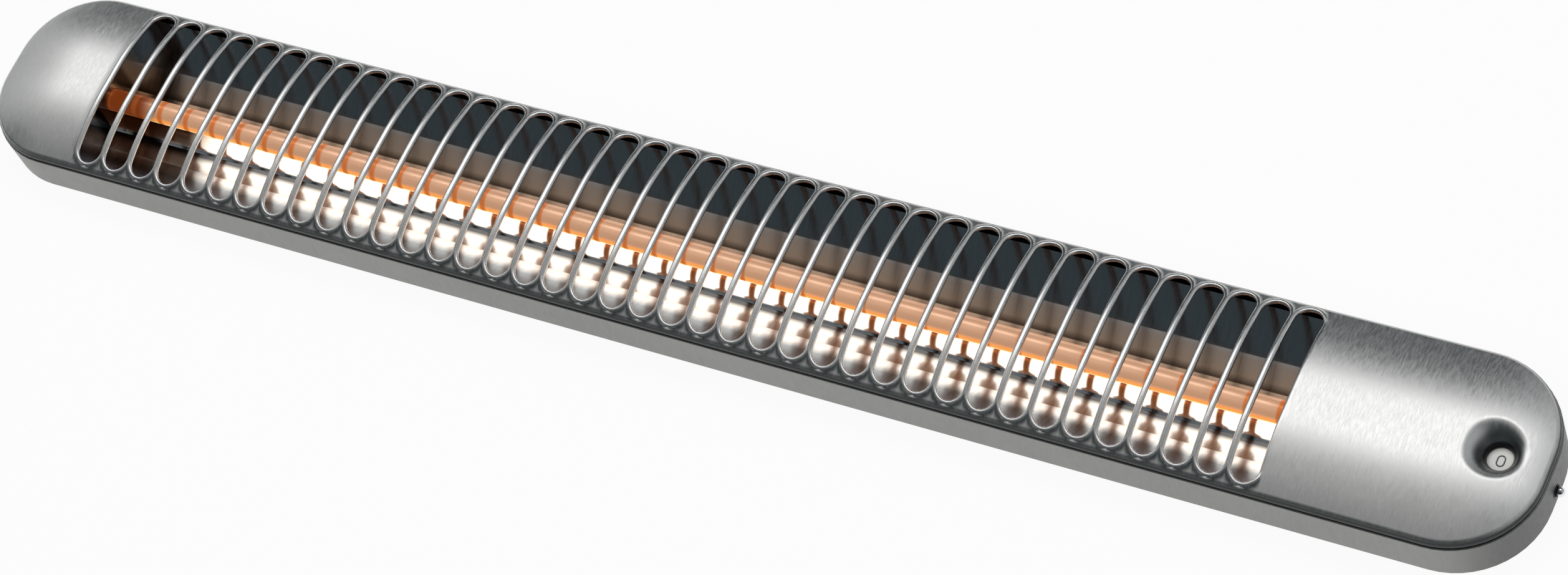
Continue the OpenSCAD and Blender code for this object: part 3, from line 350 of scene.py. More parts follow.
def right_end(face):
    """Right end: a rectangle beside the last slot, and rays from the window's edge, with even
    steps over the dimple and a little past it, then steps to the outline that grow as a power."""
    turn, reach = nose_rays()
    even = np.linspace(WINDOW_R, DIMPLE_REACH, CONE_STEPS)[:, None] + 0 * reach
    share = np.linspace(0, 1, RAY_STEPS)[1:, None] ** RAY_SPREAD
    out = np.vstack([even, DIMPLE_REACH + share * (reach - DIMPLE_REACH)])
    return [sheet_patch(face, RIGHT_X, BOUND_Y[:, None]),
            sheet_patch(face, DIMPLE_X + out * np.cos(turn), out * np.sin(turn), close_cols=True)]


def window_rim():
    """Cut edge of the sheet round the window."""
    turn, _ = nose_rays()
    x, y = DIMPLE_X + WINDOW_R * np.cos(turn), WINDOW_R * np.sin(turn)
    return grid(x, y, np.stack([outer_face(x, y), inner_face(x, y)]), close_cols=True)


def plan_loop():
    """Core points and outward directions once round the plan, clockwise from the upper left:
    a straight side, then the turn of a corner, four times."""
    middle = HALF_TURN[(HALF_TURN > COLLAR_ANGLE - TINY)
                       & (HALF_TURN < math.pi - COLLAR_ANGLE + TINY)]
    cell_x = slot_centres()[:, None] + (SHEET_Y - SLOT_C) / np.tan(middle)
    side_x = np.concatenate([LEFT_X, cell_x.ravel(), RIGHT_X, NOSE_TOP_X])
    side_x = np.unique(np.round(side_x, 8))
    swing, upward = CORNER[1:-1], math.pi / 2
    stretches = [(side_x, FLAT_Y, upward), (FLAT_X, FLAT_Y, upward - swing),
                 (FLAT_X, MID_Y[::-1], 0), (FLAT_X, -FLAT_Y, -swing),
                 (side_x[::-1], -FLAT_Y, -upward), (-FLAT_X, -FLAT_Y, -upward - swing),
                 (-FLAT_X, MID_Y, math.pi), (-FLAT_X, FLAT_Y, math.pi - swing)]
    core_x, core_y, turn = np.hstack([np.stack(np.broadcast_arrays(*stretch))
                                      for stretch in stretches])
    return core_x, core_y, np.cos(turn), np.sin(turn)


def cover_rim():
    """Side of the cover, carried round the plan: over the small arc to the foot, in to the
    flange, down and back up to the underside."""
    core_x, core_y, dir_x, dir_y = plan_loop()
    sheet_x, sheet_y = core_x + SHEET_U * dir_x, core_y + SHEET_U * dir_y
    swing = np.linspace(EDGE_SLOPE, math.pi / 2, EDGE_STEPS)[:, None]
    plain_u = EDGE_U + EDGE_R * np.sin(swing)
    arc_x, arc_y = core_x + plain_u * dir_x, core_y + plain_u * dir_y
    arc_r = EDGE_R + LIP_PROUD * lip_share(arc_x, arc_y) * lip_fall(arc_x, arc_y)
    arc_u, arc_z = EDGE_U + arc_r * np.sin(swing), EDGE_Z + arc_r * np.cos(swing)
    step_u = np.array([[DOME_U], [FLANGE_OUT_U], [FLANGE_OUT_U], [FLANGE_IN_U]])
    step_z = np.array([[FOOT_Z], [FOOT_Z], [cover_low.z], [cover_low.z]])
    level = np.ones(len(core_x))
    u = np.vstack([SHEET_U * level, arc_u, step_u * level, SHEET_U * level])
    z = np.vstack([outer_face(sheet_x, sheet_y), arc_z, step_z * level,
                   inner_face(sheet_x, sheet_y)])
    return grid(core_x + u * dir_x, core_y + u * dir_y, z, close_cols=True)


def make_cover(material):
    """Pressed cover with forty slots, rolled lips, dimple and window, over the CAD node."""
    parts = [slot_rolls(), window_rim(), cover_rim()]
    for face, steps in ((outer_face, 5), (inner_face, 3)):
        parts += [slot_collars(face, side, steps) for side in (-1, 1)]
        parts += left_end(face) + right_end(face)
    shifted = [(points + [MID_X, 0, 0], faces) for points, faces in parts]
    piece = make_piece("pressed_cover", shifted, material)
    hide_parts("front_cover")


def rounded_chain(corners, radius, steps=5):
    """Chain of straight lines whose inner corners are quadratic curves of about one radius."""
    chain = [corners[:1]]
    share = np.linspace(0, 1, steps)[:, None]
    for before, corner, after in zip(corners[:-2], corners[1:-1], corners[2:]):
        to_before = (before - corner) / np.linalg.norm(before - corner)
        to_after = (after - corner) / np.linalg.norm(after - corner)
        half_angle = math.acos(np.clip(to_before @ to_after, -1, 1)) / 2
        start = corner + to_before * radius / math.tan(half_angle)
        end = corner + to_after * radius / math.tan(half_angle)
        chain.append((1 - share) ** 2 * start + 2 * share * (1 - share) * corner
                     + share ** 2 * end)
    return np.concatenate(chain + [corners[-1:]])


def make_reflector(material):
    """Folded trough: a chain of lines with rounded folds in Y and Z, given a thickness along
    its normals and carried along X."""
    low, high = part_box("reflector")
    side = np.array([(high.y, high.z), (TROUGH_FOLD_Y, TROUGH_FOLD_Z),
                     (TROUGH_FLAT_Y, low.z + REFLECTOR_T)])
    chain = rounded_chain(np.concatenate([side * [-1, 1], side[::-1]]), FOLD_R)
    slope = np.gradient(chain, axis=0)
    slope /= np.linalg.norm(slope, axis=1)[:, None]
    under = chain + REFLECTOR_T * slope[:, ::-1] * [1, -1]
    under[:, 1] = np.minimum(under[:, 1], high.z)
    loop = np.concatenate([chain, under[::-1]])
    stations = np.linspace(low.x, high.x, TROUGH_STEPS)[:, None]
    parts = [grid(stations, loop[:, 0], loop[:, 1], close_cols=True)]
    for end in (low.x, high.x):
        parts.append(grid(end, np.stack([chain[:, 0], under[:, 0]]),
                          np.stack([chain[:, 1], under[:, 1]])))
    piece = make_piece("reflector_trough", parts, material, sharp_deg=50)
    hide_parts("reflector")


def turned(x, radius, axis_z, close_rows=False):
    """Profile of X and radius turned about an axis along X, at Y = 0."""
    angle = np.linspace(0, 2 * math.pi, TURNED_SIDES, endpoint=False)
    return grid(x[:, None], radius[:, None] * np.cos(angle),
                axis_z + radius[:, None] * np.sin(angle), close_rows, close_cols=True)


def make_tube(material):
    """Quartz tube with fire-polished ends: a closed ring profile with blunted corners, turned
    about the tube's axis."""
    low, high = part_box("quartz_tube")
    radius = (high.z - low.z) / 2
    bore_r = radius - TUBE_WALL
    along = np.linspace(low.x + TUBE_LIP, high.x - TUBE_LIP, TUBE_STEPS)
    lips = np.array([radius - TUBE_LIP, bore_r + TUBE_LIP])
    x = np.concatenate([along, [high.x, high.x], along[::-1], [low.x, low.x]])
    out = np.concatenate([np.full(len(along), radius), lips,
                          np.full(len(along), bore_r), lips[::-1]])
    ring = turned(x, out, (high.z + low.z) / 2, close_rows=True)
    piece = make_piece("tinted_tube", [ring], material)
    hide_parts("quartz_tube")


def helix(x, radius, axis_z, wire_r, turns, steps, sides):
    """Round wire on a helix about X. Each ring lies across the helix's own tangent, and both
    ends close on their middle. x gives the axial place for each share of the way."""
    share = np.linspace(0, 1, turns * steps + 1)
    share = np.concatenate([[0], share, [1]])
    angle = 2 * math.pi * turns * share
    axial = x(share)
    width = np.full(len(share), wire_r)
    width[[0, -1]] = 0
    outward = np.stack([0 * angle, np.cos(angle), np.sin(angle)], -1)
    rise = np.gradient(axial) / np.maximum(np.gradient(angle), TINY)
    tangent = np.stack([rise, -radius * np.sin(angle), radius * np.cos(angle)], -1)
    tangent /= np.linalg.norm(tangent, axis=1)[:, None]
    across = np.cross(tangent, outward)
    centre = np.stack([axial, 0 * angle, axis_z + 0 * angle], -1) + radius * outward
    ring = np.linspace(0, 2 * math.pi, sides, endpoint=False)[None, :, None]
    points = centre[:, None] + width[:, None, None] * (
        np.cos(ring) * outward[:, None] + np.sin(ring) * across[:, None])
    return grid(points[..., 0], points[..., 1], points[..., 2], close_cols=True)


def make_coil(material):
    """Heating coil: evenly wound over the length of the CAD core."""
    low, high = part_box("heating_coil")
    axis_z = (high.z + low.z) / 2
    radius = (high.z - low.z) / 2 - COIL_WIRE_R
    coil = helix(lambda share: low.x + share * (high.x - low.x), radius, axis_z, COIL_WIRE_R,
                 turns=COIL_TURNS, steps=12, sides=5)
    piece = make_piece("wound_coil", [coil], material)
    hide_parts("heating_coil")


def make_return_spring(material):
    """Return spring: six open turns with a closed turn at each end."""
    low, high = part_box("return_spring")
    axis_z = (high.z + low.z) / 2
    radius = (high.z - low.z) / 2 - SPRING_WIRE_R
    first, last = low.x + SPRING_WIRE_R, high.x - SPRING_WIRE_R
    spring = helix(lambda share: first + (last - first) * closed_ends(share), radius, axis_z,
                   SPRING_WIRE_R, turns=SPRING_TURNS, steps=24, sides=10)
    piece = make_piece("wire_spring", [spring], material)
    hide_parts("return_spring")
    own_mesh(piece)


def closed_ends(share):
    """Share of the axial way: little over the first and the last turn, the rest evenly."""
    one_turn = 1 / SPRING_TURNS
    return np.interp(share, [0, one_turn, 1 - one_turn, 1],
                     [0, SPRING_CLOSED_SHARE, 1 - SPRING_CLOSED_SHARE, 1])


def make_ball(material):
    """Pull ball: half a circle turned about the axis of the rod, with a pole at both sides."""
    low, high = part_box("pull_ball")
    radius = (high.y - low.y) / 2
    lean = np.linspace(0, math.pi, BALL_STEPS)
    ball = turned(high.x - radius + radius * np.cos(lean), radius * np.sin(lean),
                  (high.z + low.z) / 2)
    piece = make_piece("chrome_ball", [ball], material, body="pull")
    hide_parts("pull_ball")


def add(tree, kind, inputs=None, **settings):
    """Adds a node, sets its properties, and links or sets its inputs by name or number."""
    node = tree.nodes.new(kind)
    for key, value in settings.items():
        setattr(node, key, value)
    for key, value in (inputs or {}).items():
        if isinstance(value, bpy.types.NodeSocket):
            tree.links.new(value, node.inputs[key])
        else:
            node.inputs[key].default_value = value
    return node


def object_place(tree):
    """The Object coordinates of the surface."""
    return add(tree, "ShaderNodeTexCoord").outputs["Object"]


def facing(tree):
    """The direction that the surface faces, as X, Y and Z."""
    return components(tree, add(tree, "ShaderNodeNewGeometry").outputs["Normal"])


def components(tree, vector):
    """The X, Y and Z of a vector."""
    return add(tree, "ShaderNodeSeparateXYZ", {0: vector}).outputs


def math_node(tree, operation, first, second=0.0):
    """One operation on one or two values."""
    return add(tree, "ShaderNodeMath", {0: first, 1: second}, operation=operation).outputs[0]


def vector_math(tree, operation, first, second=(0, 0, 0), result="Vector"):
    """One operation on one or two vectors, which gives a vector or, where result says, a Value."""
    node = add(tree, "ShaderNodeVectorMath", {0: first, 1: second}, operation=operation)
    return node.outputs[result]


def span(tree, value, start, end, low=0.0, high=1.0, kind="SMOOTHSTEP"):
    """Maps a value from one range to another, held at both ends."""
    inputs = {"Value": value, "From Min": start, "From Max": end, "To Min": low, "To Max": high}
    node = add(tree, "ShaderNodeMapRange", inputs, interpolation_type=kind)
    return node.outputs["Result"]


def noise(tree, place, scale, detail, roughness=0.5):
    """Noise with so many bumps per metre, as a value near a half."""
    inputs = {"Vector": place, "Scale": scale, "Detail": detail, "Roughness": roughness}
    return add(tree, "ShaderNodeTexNoise", inputs).outputs["Fac"]


def rgba(colour):
    """Makes a written colour opaque. A linked colour stays as it is."""
    return (*colour, 1) if isinstance(colour, tuple) else colour


def blend_colour(tree, share, first, second):
    """Mixes two colours by a share."""
    inputs = {0: share, 6: rgba(first), 7: rgba(second)}
    return add(tree, "ShaderNodeMix", inputs, data_type="RGBA").outputs[2]


def ramp(tree, value, start, end, stops):
    """Colour ramp over a range of a value; stops are pairs of a value and a colour."""
    node = add(tree, "ShaderNodeValToRGB", {"Fac": span(tree, value, start, end, kind="LINEAR")})
    marks = node.color_ramp.elements
    for _ in stops[2:]:
        marks.new(0.5)
    for mark, (place, colour) in zip(marks, stops):
        mark.position = (place - start) / (end - start)
        mark.color = rgba(colour)
    return node.outputs["Color"]


def make_group(name, inputs, outputs, fill):
    """Node group with named inputs and outputs. fill links them and returns the results."""
    tree = bpy.data.node_groups.new(name, "ShaderNodeTree")
    for label, kind, value in inputs:
        socket = tree.interface.new_socket(label, in_out="INPUT", socket_type=kind)
        socket.default_value = value
    for label, kind in outputs:
        tree.interface.new_socket(label, in_out="OUTPUT", socket_type=kind)
    source = tree.nodes.new("NodeGroupInput")
    target = tree.nodes.new("NodeGroupOutput")
    for result, socket in zip(fill(tree, source.outputs), target.inputs):
        tree.links.new(result, socket)
    return tree


def fill_brushing(tree, given):
    """Noise drawn out along one direction, as Marks gives the bumps per metre each way, and a
    slow drift of tone."""
    drawn_out = vector_math(tree, "MULTIPLY", given["Place"], given["Marks"])
    return [noise(tree, drawn_out, 1.0, 4.0, 0.65), noise(tree, given["Place"], 28.0, 2.0)]


def fill_grain(tree, given):
    """Even fine noise for a cast, moulded or blasted surface, and a slow drift of tone."""
    return [noise(tree, given["Place"], given["Scale"], 3.0, 0.6),
            noise(tree, given["Place"], 40.0, 2.0)]


def fill_tone(tree, given):
    """Colour times 1 + (value - 1/2) * depth: darker below a half and lighter above."""
    shift = math_node(tree, "SUBTRACT", given["Value"], 0.5)
    shift = math_node(tree, "MULTIPLY", shift, given["Depth"])
    gain = math_node(tree, "ADD", shift, 1.0)
    return [add(tree, "ShaderNodeVectorMath", {0: given["Colour"], 3: gain},
                operation="SCALE").outputs[0]]


brushing = make_group(
    "brushing_marks", [("Place", "NodeSocketVector", (0, 0, 0)),
                       ("Marks", "NodeSocketVector", (4000, 160, 160))],
    [("Streak", "NodeSocketFloat"), ("Drift", "NodeSocketFloat")], fill_brushing)
grain = make_group(
    "fine_grain", [("Place", "NodeSocketVector", (0, 0, 0)), ("Scale", "NodeSocketFloat", 2500)],
    [("Grain", "NodeSocketFloat"), ("Drift", "NodeSocketFloat")], fill_grain)
tone = make_group(
    "tone_shift", [("Colour", "NodeSocketColor", (1, 1, 1, 1)),
                   ("Value", "NodeSocketFloat", 0.5), ("Depth", "NodeSocketFloat", 0.1)],
    [("Colour", "NodeSocketColor")], fill_tone)


def use_group(tree, group, inputs):
    """Places a node group in a material with its own values."""
    return add(tree, "ShaderNodeGroup", inputs, node_tree=group).outputs


def toned(tree, colour, value, depth):
    """A colour that drifts with a value."""
    return use_group(tree, tone, {"Colour": rgba(colour), "Value": value, "Depth": depth})[0]


def start(name, fixed):
    """New material whose constant values stand on the shader's own sockets."""
    material = bpy.data.materials.new(name)
    material.use_nodes = True
    shader = material.node_tree.nodes["Principled BSDF"]
    for key, value in fixed.items():
        shader.inputs[key].default_value = value
    return material, material.node_tree, shader


def wire(tree, shader, colour, roughness, height, depth):
    """Links a colour, a roughness and a height map of a given depth to the shader."""
    tree.links.new(colour, shader.inputs["Base Color"])
    tree.links.new(roughness, shader.inputs["Roughness"])
    bump = add(tree, "ShaderNodeBump", {"Height": height, "Distance": depth, "Strength": 0.6})
    tree.links.new(bump.outputs["Normal"], shader.inputs["Normal"])


# Range in which noise changes a finish, and the depths of the finest heights
NOISE_RANGE = (0.3, 0.7)
SATIN_DEPTH = 0.000012
WAVE_DEPTH = 0.00005
BRUSHED_DEPTH = 0.00001
HAZE_DEPTH = 0.000002
SLEEVE_DEPTH = 0.00006

# Where masks on the cover and the tray rise from 0 to 1: distances from a slot's centre line,
# along the row and from the window's centre, a height, and parts of the direction faced. All but
# the lip's and the row's bring in painted shade, the window's a painted shadow
LIP_EDGE = (PITCH / 2 + 0.0004, PITCH / 2 - 0.0002)
VALLEY_SHADE_START = (PITCH / 2 + 0.0002, PITCH / 2 + 0.0008)
VALLEY_SHADE_END = (PITCH / 2 + 0.0032, PITCH / 2 + 0.0012)
ROW_START = (-0.0012, -0.0004)
ROW_END = (SLOTS_X1 - SLOTS_X0 + 0.0006, SLOTS_X1 - SLOTS_X0)
DIMPLE_SHADE_EDGE = (DIMPLE_R + 0.0002, DIMPLE_R - 0.0028)
WINDOW_SHADOW_EDGE = (WINDOW_R + 0.0003, WINDOW_R + 0.0001)
TURNED_IN_SHADE = (EDGE_Z + 0.0026, EDGE_Z + 0.0014)
UNDERSIDE_SHADE = (-0.05, -0.35)
RIGHTWARDS_SHADE = (0.15, 0.85)

# The same across the trough, from the near side at -Y to the far side: half the width of its bands
# of painted reflection and shade, and where its roughness changes
TROUGH_PAINT_Y = 0.034
NEAR_SOFT = (-0.0105, -0.0125)
FAR_SOFT = (0.0030, 0.0060)
FLANK_BRIGHT = (0.0215, 0.0235)

# Tube: directions, as angles from upright to the near side, about which the camera's glow and the
# painted glow that reflections see are laid; painted bar shade at the slots' middles, as distances
# from the nearest bar; and where the lit part starts along X
NEAR_UNDERSIDE_LEAN = math.radians(150)
GLOW_LEAN = math.radians(120)
GLOW_EDGE = (0.45, 0.68)
FLANK_EDGE = (0.78, 0.58)
BAR_SHADE_EDGE = (PITCH / 2 - 0.0019, PITCH / 2 - 0.0006)
WIDE_BAR_SHADE_EDGE = (PITCH / 2 - 0.0022, PITCH / 2 - 0.0009)
BAR_SHADE_FLARE = 0.0024
LIT_START = (LIT_X0, LIT_X0 + 0.012)
MIRRORED_START = (LIT_X0 + 0.020, LIT_X0 + 0.040)


def slot_bands(tree, apart):
    """Two masks from the distance to the centre line of the nearest slot: its rolled lip, and
    painted shade in the valley of the sheet round the lip's ends."""
    along = math_node(tree, "SUBTRACT", apart["X"], MID_X + SLOTS_X0)
    across = math_node(tree, "PINGPONG", along, PITCH / 2)
    across = math_node(tree, "SUBTRACT", across, PITCH / 2)
    beyond = math_node(tree, "SUBTRACT", math_node(tree, "ABSOLUTE", apart["Y"]), SLOT_C)
    beyond = math_node(tree, "MAXIMUM", beyond, 0.0)
    flat = add(tree, "ShaderNodeCombineXYZ", {0: across, 1: beyond}).outputs[0]
    out = vector_math(tree, "LENGTH", flat, result="Value")
    in_row = math_node(tree, "MULTIPLY", span(tree, along, *ROW_START),
                       span(tree, along, *ROW_END))
    lip = span(tree, out, *LIP_EDGE)
    valley_shade = math_node(tree, "MULTIPLY", span(tree, out, *VALLEY_SHADE_START),
                       span(tree, out, *VALLEY_SHADE_END))
    return [math_node(tree, "MULTIPLY", band, in_row) for band in (lip, valley_shade)]


def satin_cover():
    """Satin cover, brushed across the case: smoother and even in tone on the slots' lips, with
    painted shade round them, where the side turns in, inside the dimple and on the underside,
    which faces the hot tube, and a painted shadow on the window's cut edge."""
    material, tree, shader = start("satin_cover", {"Metallic": 1.0})
    place = object_place(tree)
    marks = use_group(tree, brushing, {"Place": place, "Marks": (1700, 260, 260)})
    apart = components(tree, place)
    lip, valley_shade = slot_bands(tree, apart)
    flat = vector_math(tree, "MULTIPLY", place, (1, 1, 0))
    away = vector_math(tree, "DISTANCE", flat, (MID_X + DIMPLE_X, 0, 0), "Value")
    colour = toned(tree, (0.84, 0.84, 0.825), marks["Streak"], 0.38)
    colour = toned(tree, colour, marks["Drift"], 0.08)
    half_valley_shade = math_node(tree, "MULTIPLY", valley_shade, 0.5)
    for share, shade in ((lip, (0.82, 0.82, 0.81)),
                         # painted shade in the valleys round the lips' ends
                         (half_valley_shade, (0.16, 0.17, 0.17)),
                         # painted shade inside the dimple
                         (span(tree, away, *DIMPLE_SHADE_EDGE), (0.26, 0.275, 0.28)),
                         # painted shade where the side turns in to the groove
                         (span(tree, apart["Z"], *TURNED_IN_SHADE), (0.055, 0.058, 0.058)),
                         # painted shade on the underside, which faces the tube
                         (span(tree, facing(tree)["Z"], *UNDERSIDE_SHADE), (0.10, 0.085, 0.075)),
                         # painted shadow on the window's cut edge
                         (span(tree, away, *WINDOW_SHADOW_EDGE), (0.012, 0.012, 0.013))):
        colour = blend_colour(tree, share, colour, shade)
    rough = span(tree, marks["Streak"], *NOISE_RANGE, 0.33, 0.44)
    rough = math_node(tree, "SUBTRACT", rough, math_node(tree, "MULTIPLY", lip, 0.10))
    height = math_node(tree, "MULTIPLY", marks["Streak"], math_node(tree, "SUBTRACT", 1.0, lip))
    wire(tree, shader, colour, rough, height, SATIN_DEPTH)
    return material


def satin_tray():
    """Satin tray with upright marks, and a painted shade on the faces turned towards its right
    end.
    """
    material, tree, shader = start("satin_tray", {"Metallic": 1.0})
    marks = use_group(tree, brushing, {"Place": object_place(tree), "Marks": (1500, 1500, 220)})
    # painted shade on faces turned towards +X
    colour = blend_colour(tree, span(tree, facing(tree)["X"], *RIGHTWARDS_SHADE), (0.30, 0.30, 0.29),
                          (0.16, 0.165, 0.16))
    colour = toned(tree, toned(tree, colour, marks["Streak"], 0.26), marks["Drift"], 0.10)
    rough = span(tree, marks["Streak"], *NOISE_RANGE, 0.42, 0.54)
    wire(tree, shader, colour, rough, marks["Streak"], SATIN_DEPTH)
    return material


def bright_reflector():
    """Polished sheet, softer on the near side, with bands of painted reflection and shade across
    the trough: pale near and below the tube, brown on the far side of the tube, dark along the
    near fold and blue-grey towards both edges."""
    material, tree, shader = start("bright_reflector", {"Metallic": 1.0})
    place = object_place(tree)
    side = components(tree, place)["Y"]
    marks = use_group(tree, brushing, {"Place": place, "Marks": (900, 60, 60)})
    # Bands painted across the trough in place of reflections and shade
    colour = ramp(tree, side, -TROUGH_PAINT_Y, TROUGH_PAINT_Y, [
        (-0.0300, (0.22, 0.26, 0.30)), (-0.0250, (0.66, 0.67, 0.68)),
        (-0.0165, (0.86, 0.85, 0.83)), (-0.0128, (0.07, 0.08, 0.09)),
        (-0.0096, (0.05, 0.055, 0.06)), (-0.0086, (0.97, 0.96, 0.94)),
        (0.0040, (0.60, 0.40, 0.26)), (0.0070, (0.20, 0.13, 0.09)),
        (0.0115, (0.24, 0.16, 0.11)), (0.0140, (0.82, 0.59, 0.43)),
        (0.0200, (0.78, 0.62, 0.51)), (0.0240, (0.80, 0.83, 0.87))])
    colour = toned(tree, colour, marks["Streak"], 0.16)
    rough = math_node(tree, "MAXIMUM", span(tree, side, *NEAR_SOFT, 0.08, 0.17),
                      span(tree, side, *FAR_SOFT, 0.08, 0.19))
    rough = math_node(tree, "ADD", rough, span(tree, side, *FLANK_BRIGHT, 0.0, -0.07))
    streaks = span(tree, marks["Streak"], *NOISE_RANGE, 0.0, 0.06)
    wire(tree, shader, colour, math_node(tree, "ADD", rough, streaks), marks["Drift"], WAVE_DEPTH)
    return material


def glowing_tube():
    """Tinted quartz, lit from inside. Its top shows pale to the camera, over a base colour painted
    lighter where the tube is lit, with a glow that runs orange to white-hot down the near side,
    while reflections see a painted white-hot lower half. Painted dark rings under the slots'
    middles stand for shade from the cover's bars, and the glow starts past the first slots."""
    material, tree, shader = start("glowing_tube", {
        "Metallic": 0.55, "Roughness": 0.30, "Emission Strength": 1.0})
    place = object_place(tree)
    along = components(tree, place)["X"]
    low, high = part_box("quartz_tube")
    radius = (high.z - low.z) / 2
    spoke = vector_math(tree, "SUBTRACT", place, (0, 0, (low.z + high.z) / 2))
    toward_near_underside, glow = (
        vector_math(tree, "DOT_PRODUCT", spoke,
                    (0, -math.sin(lean) / radius, math.cos(lean) / radius), "Value")
        for lean in (NEAR_UNDERSIDE_LEAN, GLOW_LEAN))
    phase = math_node(tree, "SUBTRACT", along, MID_X + SLOTS_X0)
    phase = math_node(tree, "PINGPONG", phase, PITCH / 2)
    # ring: painted shade from the cover's bars, under each slot's middle
    ring = span(tree, phase, *BAR_SHADE_EDGE)
    flare = math_node(tree, "MULTIPLY", span(tree, toward_near_underside, *FLANK_EDGE), BAR_SHADE_FLARE)
    wide_bar_shade = span(tree, math_node(tree, "ADD", phase, flare), *WIDE_BAR_SHADE_EDGE)
    lit = span(tree, along, *LIT_START)
    # Base colour painted lighter where the tube is lit, then painted darker in the bar shade
    base = blend_colour(tree, lit, (0.13, 0.038, 0.014), (0.64, 0.42, 0.30))
    base = blend_colour(tree, ring, base, (0.42, 0.14, 0.045))
    tree.links.new(base, shader.inputs["Base Color"])
    direct = ramp(tree, toward_near_underside, -1.0, 1.0, [
        (-0.02, (0.38, 0.19, 0.10)), (0.18, (0.76, 0.25, 0.045)), (0.57, (0.97, 0.36, 0.05)),
        (0.70, (1.0, 0.74, 0.29)), (0.79, (1.0, 0.97, 0.85))])
    # the camera's glow is darkened in the painted bar shade
    bar_shade_share = math_node(tree, "MULTIPLY", ring, 0.85)
    direct = blend_colour(tree, bar_shade_share, direct, (0.44, 0.095, 0.012))
    direct = blend_colour(tree, lit, (0.15, 0.028, 0.004), direct)
    # Glow that reflections see: a painted white-hot lower half, near black before the lit part
    mirrored = blend_colour(tree, span(tree, glow, *GLOW_EDGE), (0.22, 0.09, 0.04),
                            (2.3, 2.1, 1.85))
    # painted bar shade in the reflected glow, wider down the near flank
    mirrored = blend_colour(tree, wide_bar_shade, mirrored, (0.14, 0.045, 0.014))
    mirrored = blend_colour(tree, span(tree, along, *MIRRORED_START), (0.010, 0.003, 0.001),
                            mirrored)
    # Painted: the camera and reflections see different glows
    camera_ray = add(tree, "ShaderNodeLightPath").outputs["Is Camera Ray"]
    tree.links.new(blend_colour(tree, camera_ray, mirrored, direct),
                   shader.inputs["Emission Color"])
    return material


def hot_wire():
    """Resistance wire, orange hot, uneven in tone and in glow."""
    material, tree, shader = start("hot_wire", {
        "Metallic": 0.3, "Roughness": 0.5, "Emission Strength": 2.0})
    marks = use_group(tree, grain, {"Place": object_place(tree), "Scale": 900.0})
    tree.links.new(toned(tree, (0.45, 0.20, 0.08), marks["Grain"], 0.3),
                   shader.inputs["Base Color"])
    tree.links.new(toned(tree, (1.0, 0.32, 0.04), marks["Drift"], 0.5),
                   shader.inputs["Emission Color"])
    return material


def brushed_metal(name, colour, rough, marks):
    """Metal with fine drawn-out marks in tone, roughness and height."""
    material, tree, shader = start(name, {"Metallic": 1.0})
    made = use_group(tree, brushing, {"Place": object_place(tree), "Marks": marks})
    colour = toned(tree, toned(tree, colour, made["Streak"], 0.14), made["Drift"], 0.06)
    rough = span(tree, made["Streak"], *NOISE_RANGE, rough - 0.05, rough + 0.07)
    wire(tree, shader, colour, rough, made["Streak"], BRUSHED_DEPTH)
    return material


def grained(name, colour, rough, scale, depth=0.00002, contrast=0.08):
    """Moulded, fired or blasted surface with an even fine grain."""
    material, tree, shader = start(name, {})
    made = use_group(tree, grain, {"Place": object_place(tree), "Scale": scale})
    colour = toned(tree, toned(tree, colour, made["Grain"], contrast), made["Drift"], 0.08)
    rough = span(tree, made["Grain"], *NOISE_RANGE, rough - 0.06, rough + 0.08)
    wire(tree, shader, colour, rough, made["Grain"], depth)
    return material


def sleeve(name, colour, rough):
    """Wire sleeve with a coarse-grained skin."""
    return grained(name, colour, rough, 1800.0, SLEEVE_DEPTH, contrast=0.22)


def polished(name, colour, rough):
    """Bright metal with faint handling haze."""
    material, tree, shader = start(name, {"Metallic": 1.0})
    made = use_group(tree, grain, {"Place": object_place(tree), "Scale": 600.0})
    colour = toned(tree, colour, made["Drift"], 0.05)
    rough = span(tree, made["Drift"], *NOISE_RANGE, rough, rough + 0.06)
    wire(tree, shader, colour, rough, made["Grain"], HAZE_DEPTH)
    return material


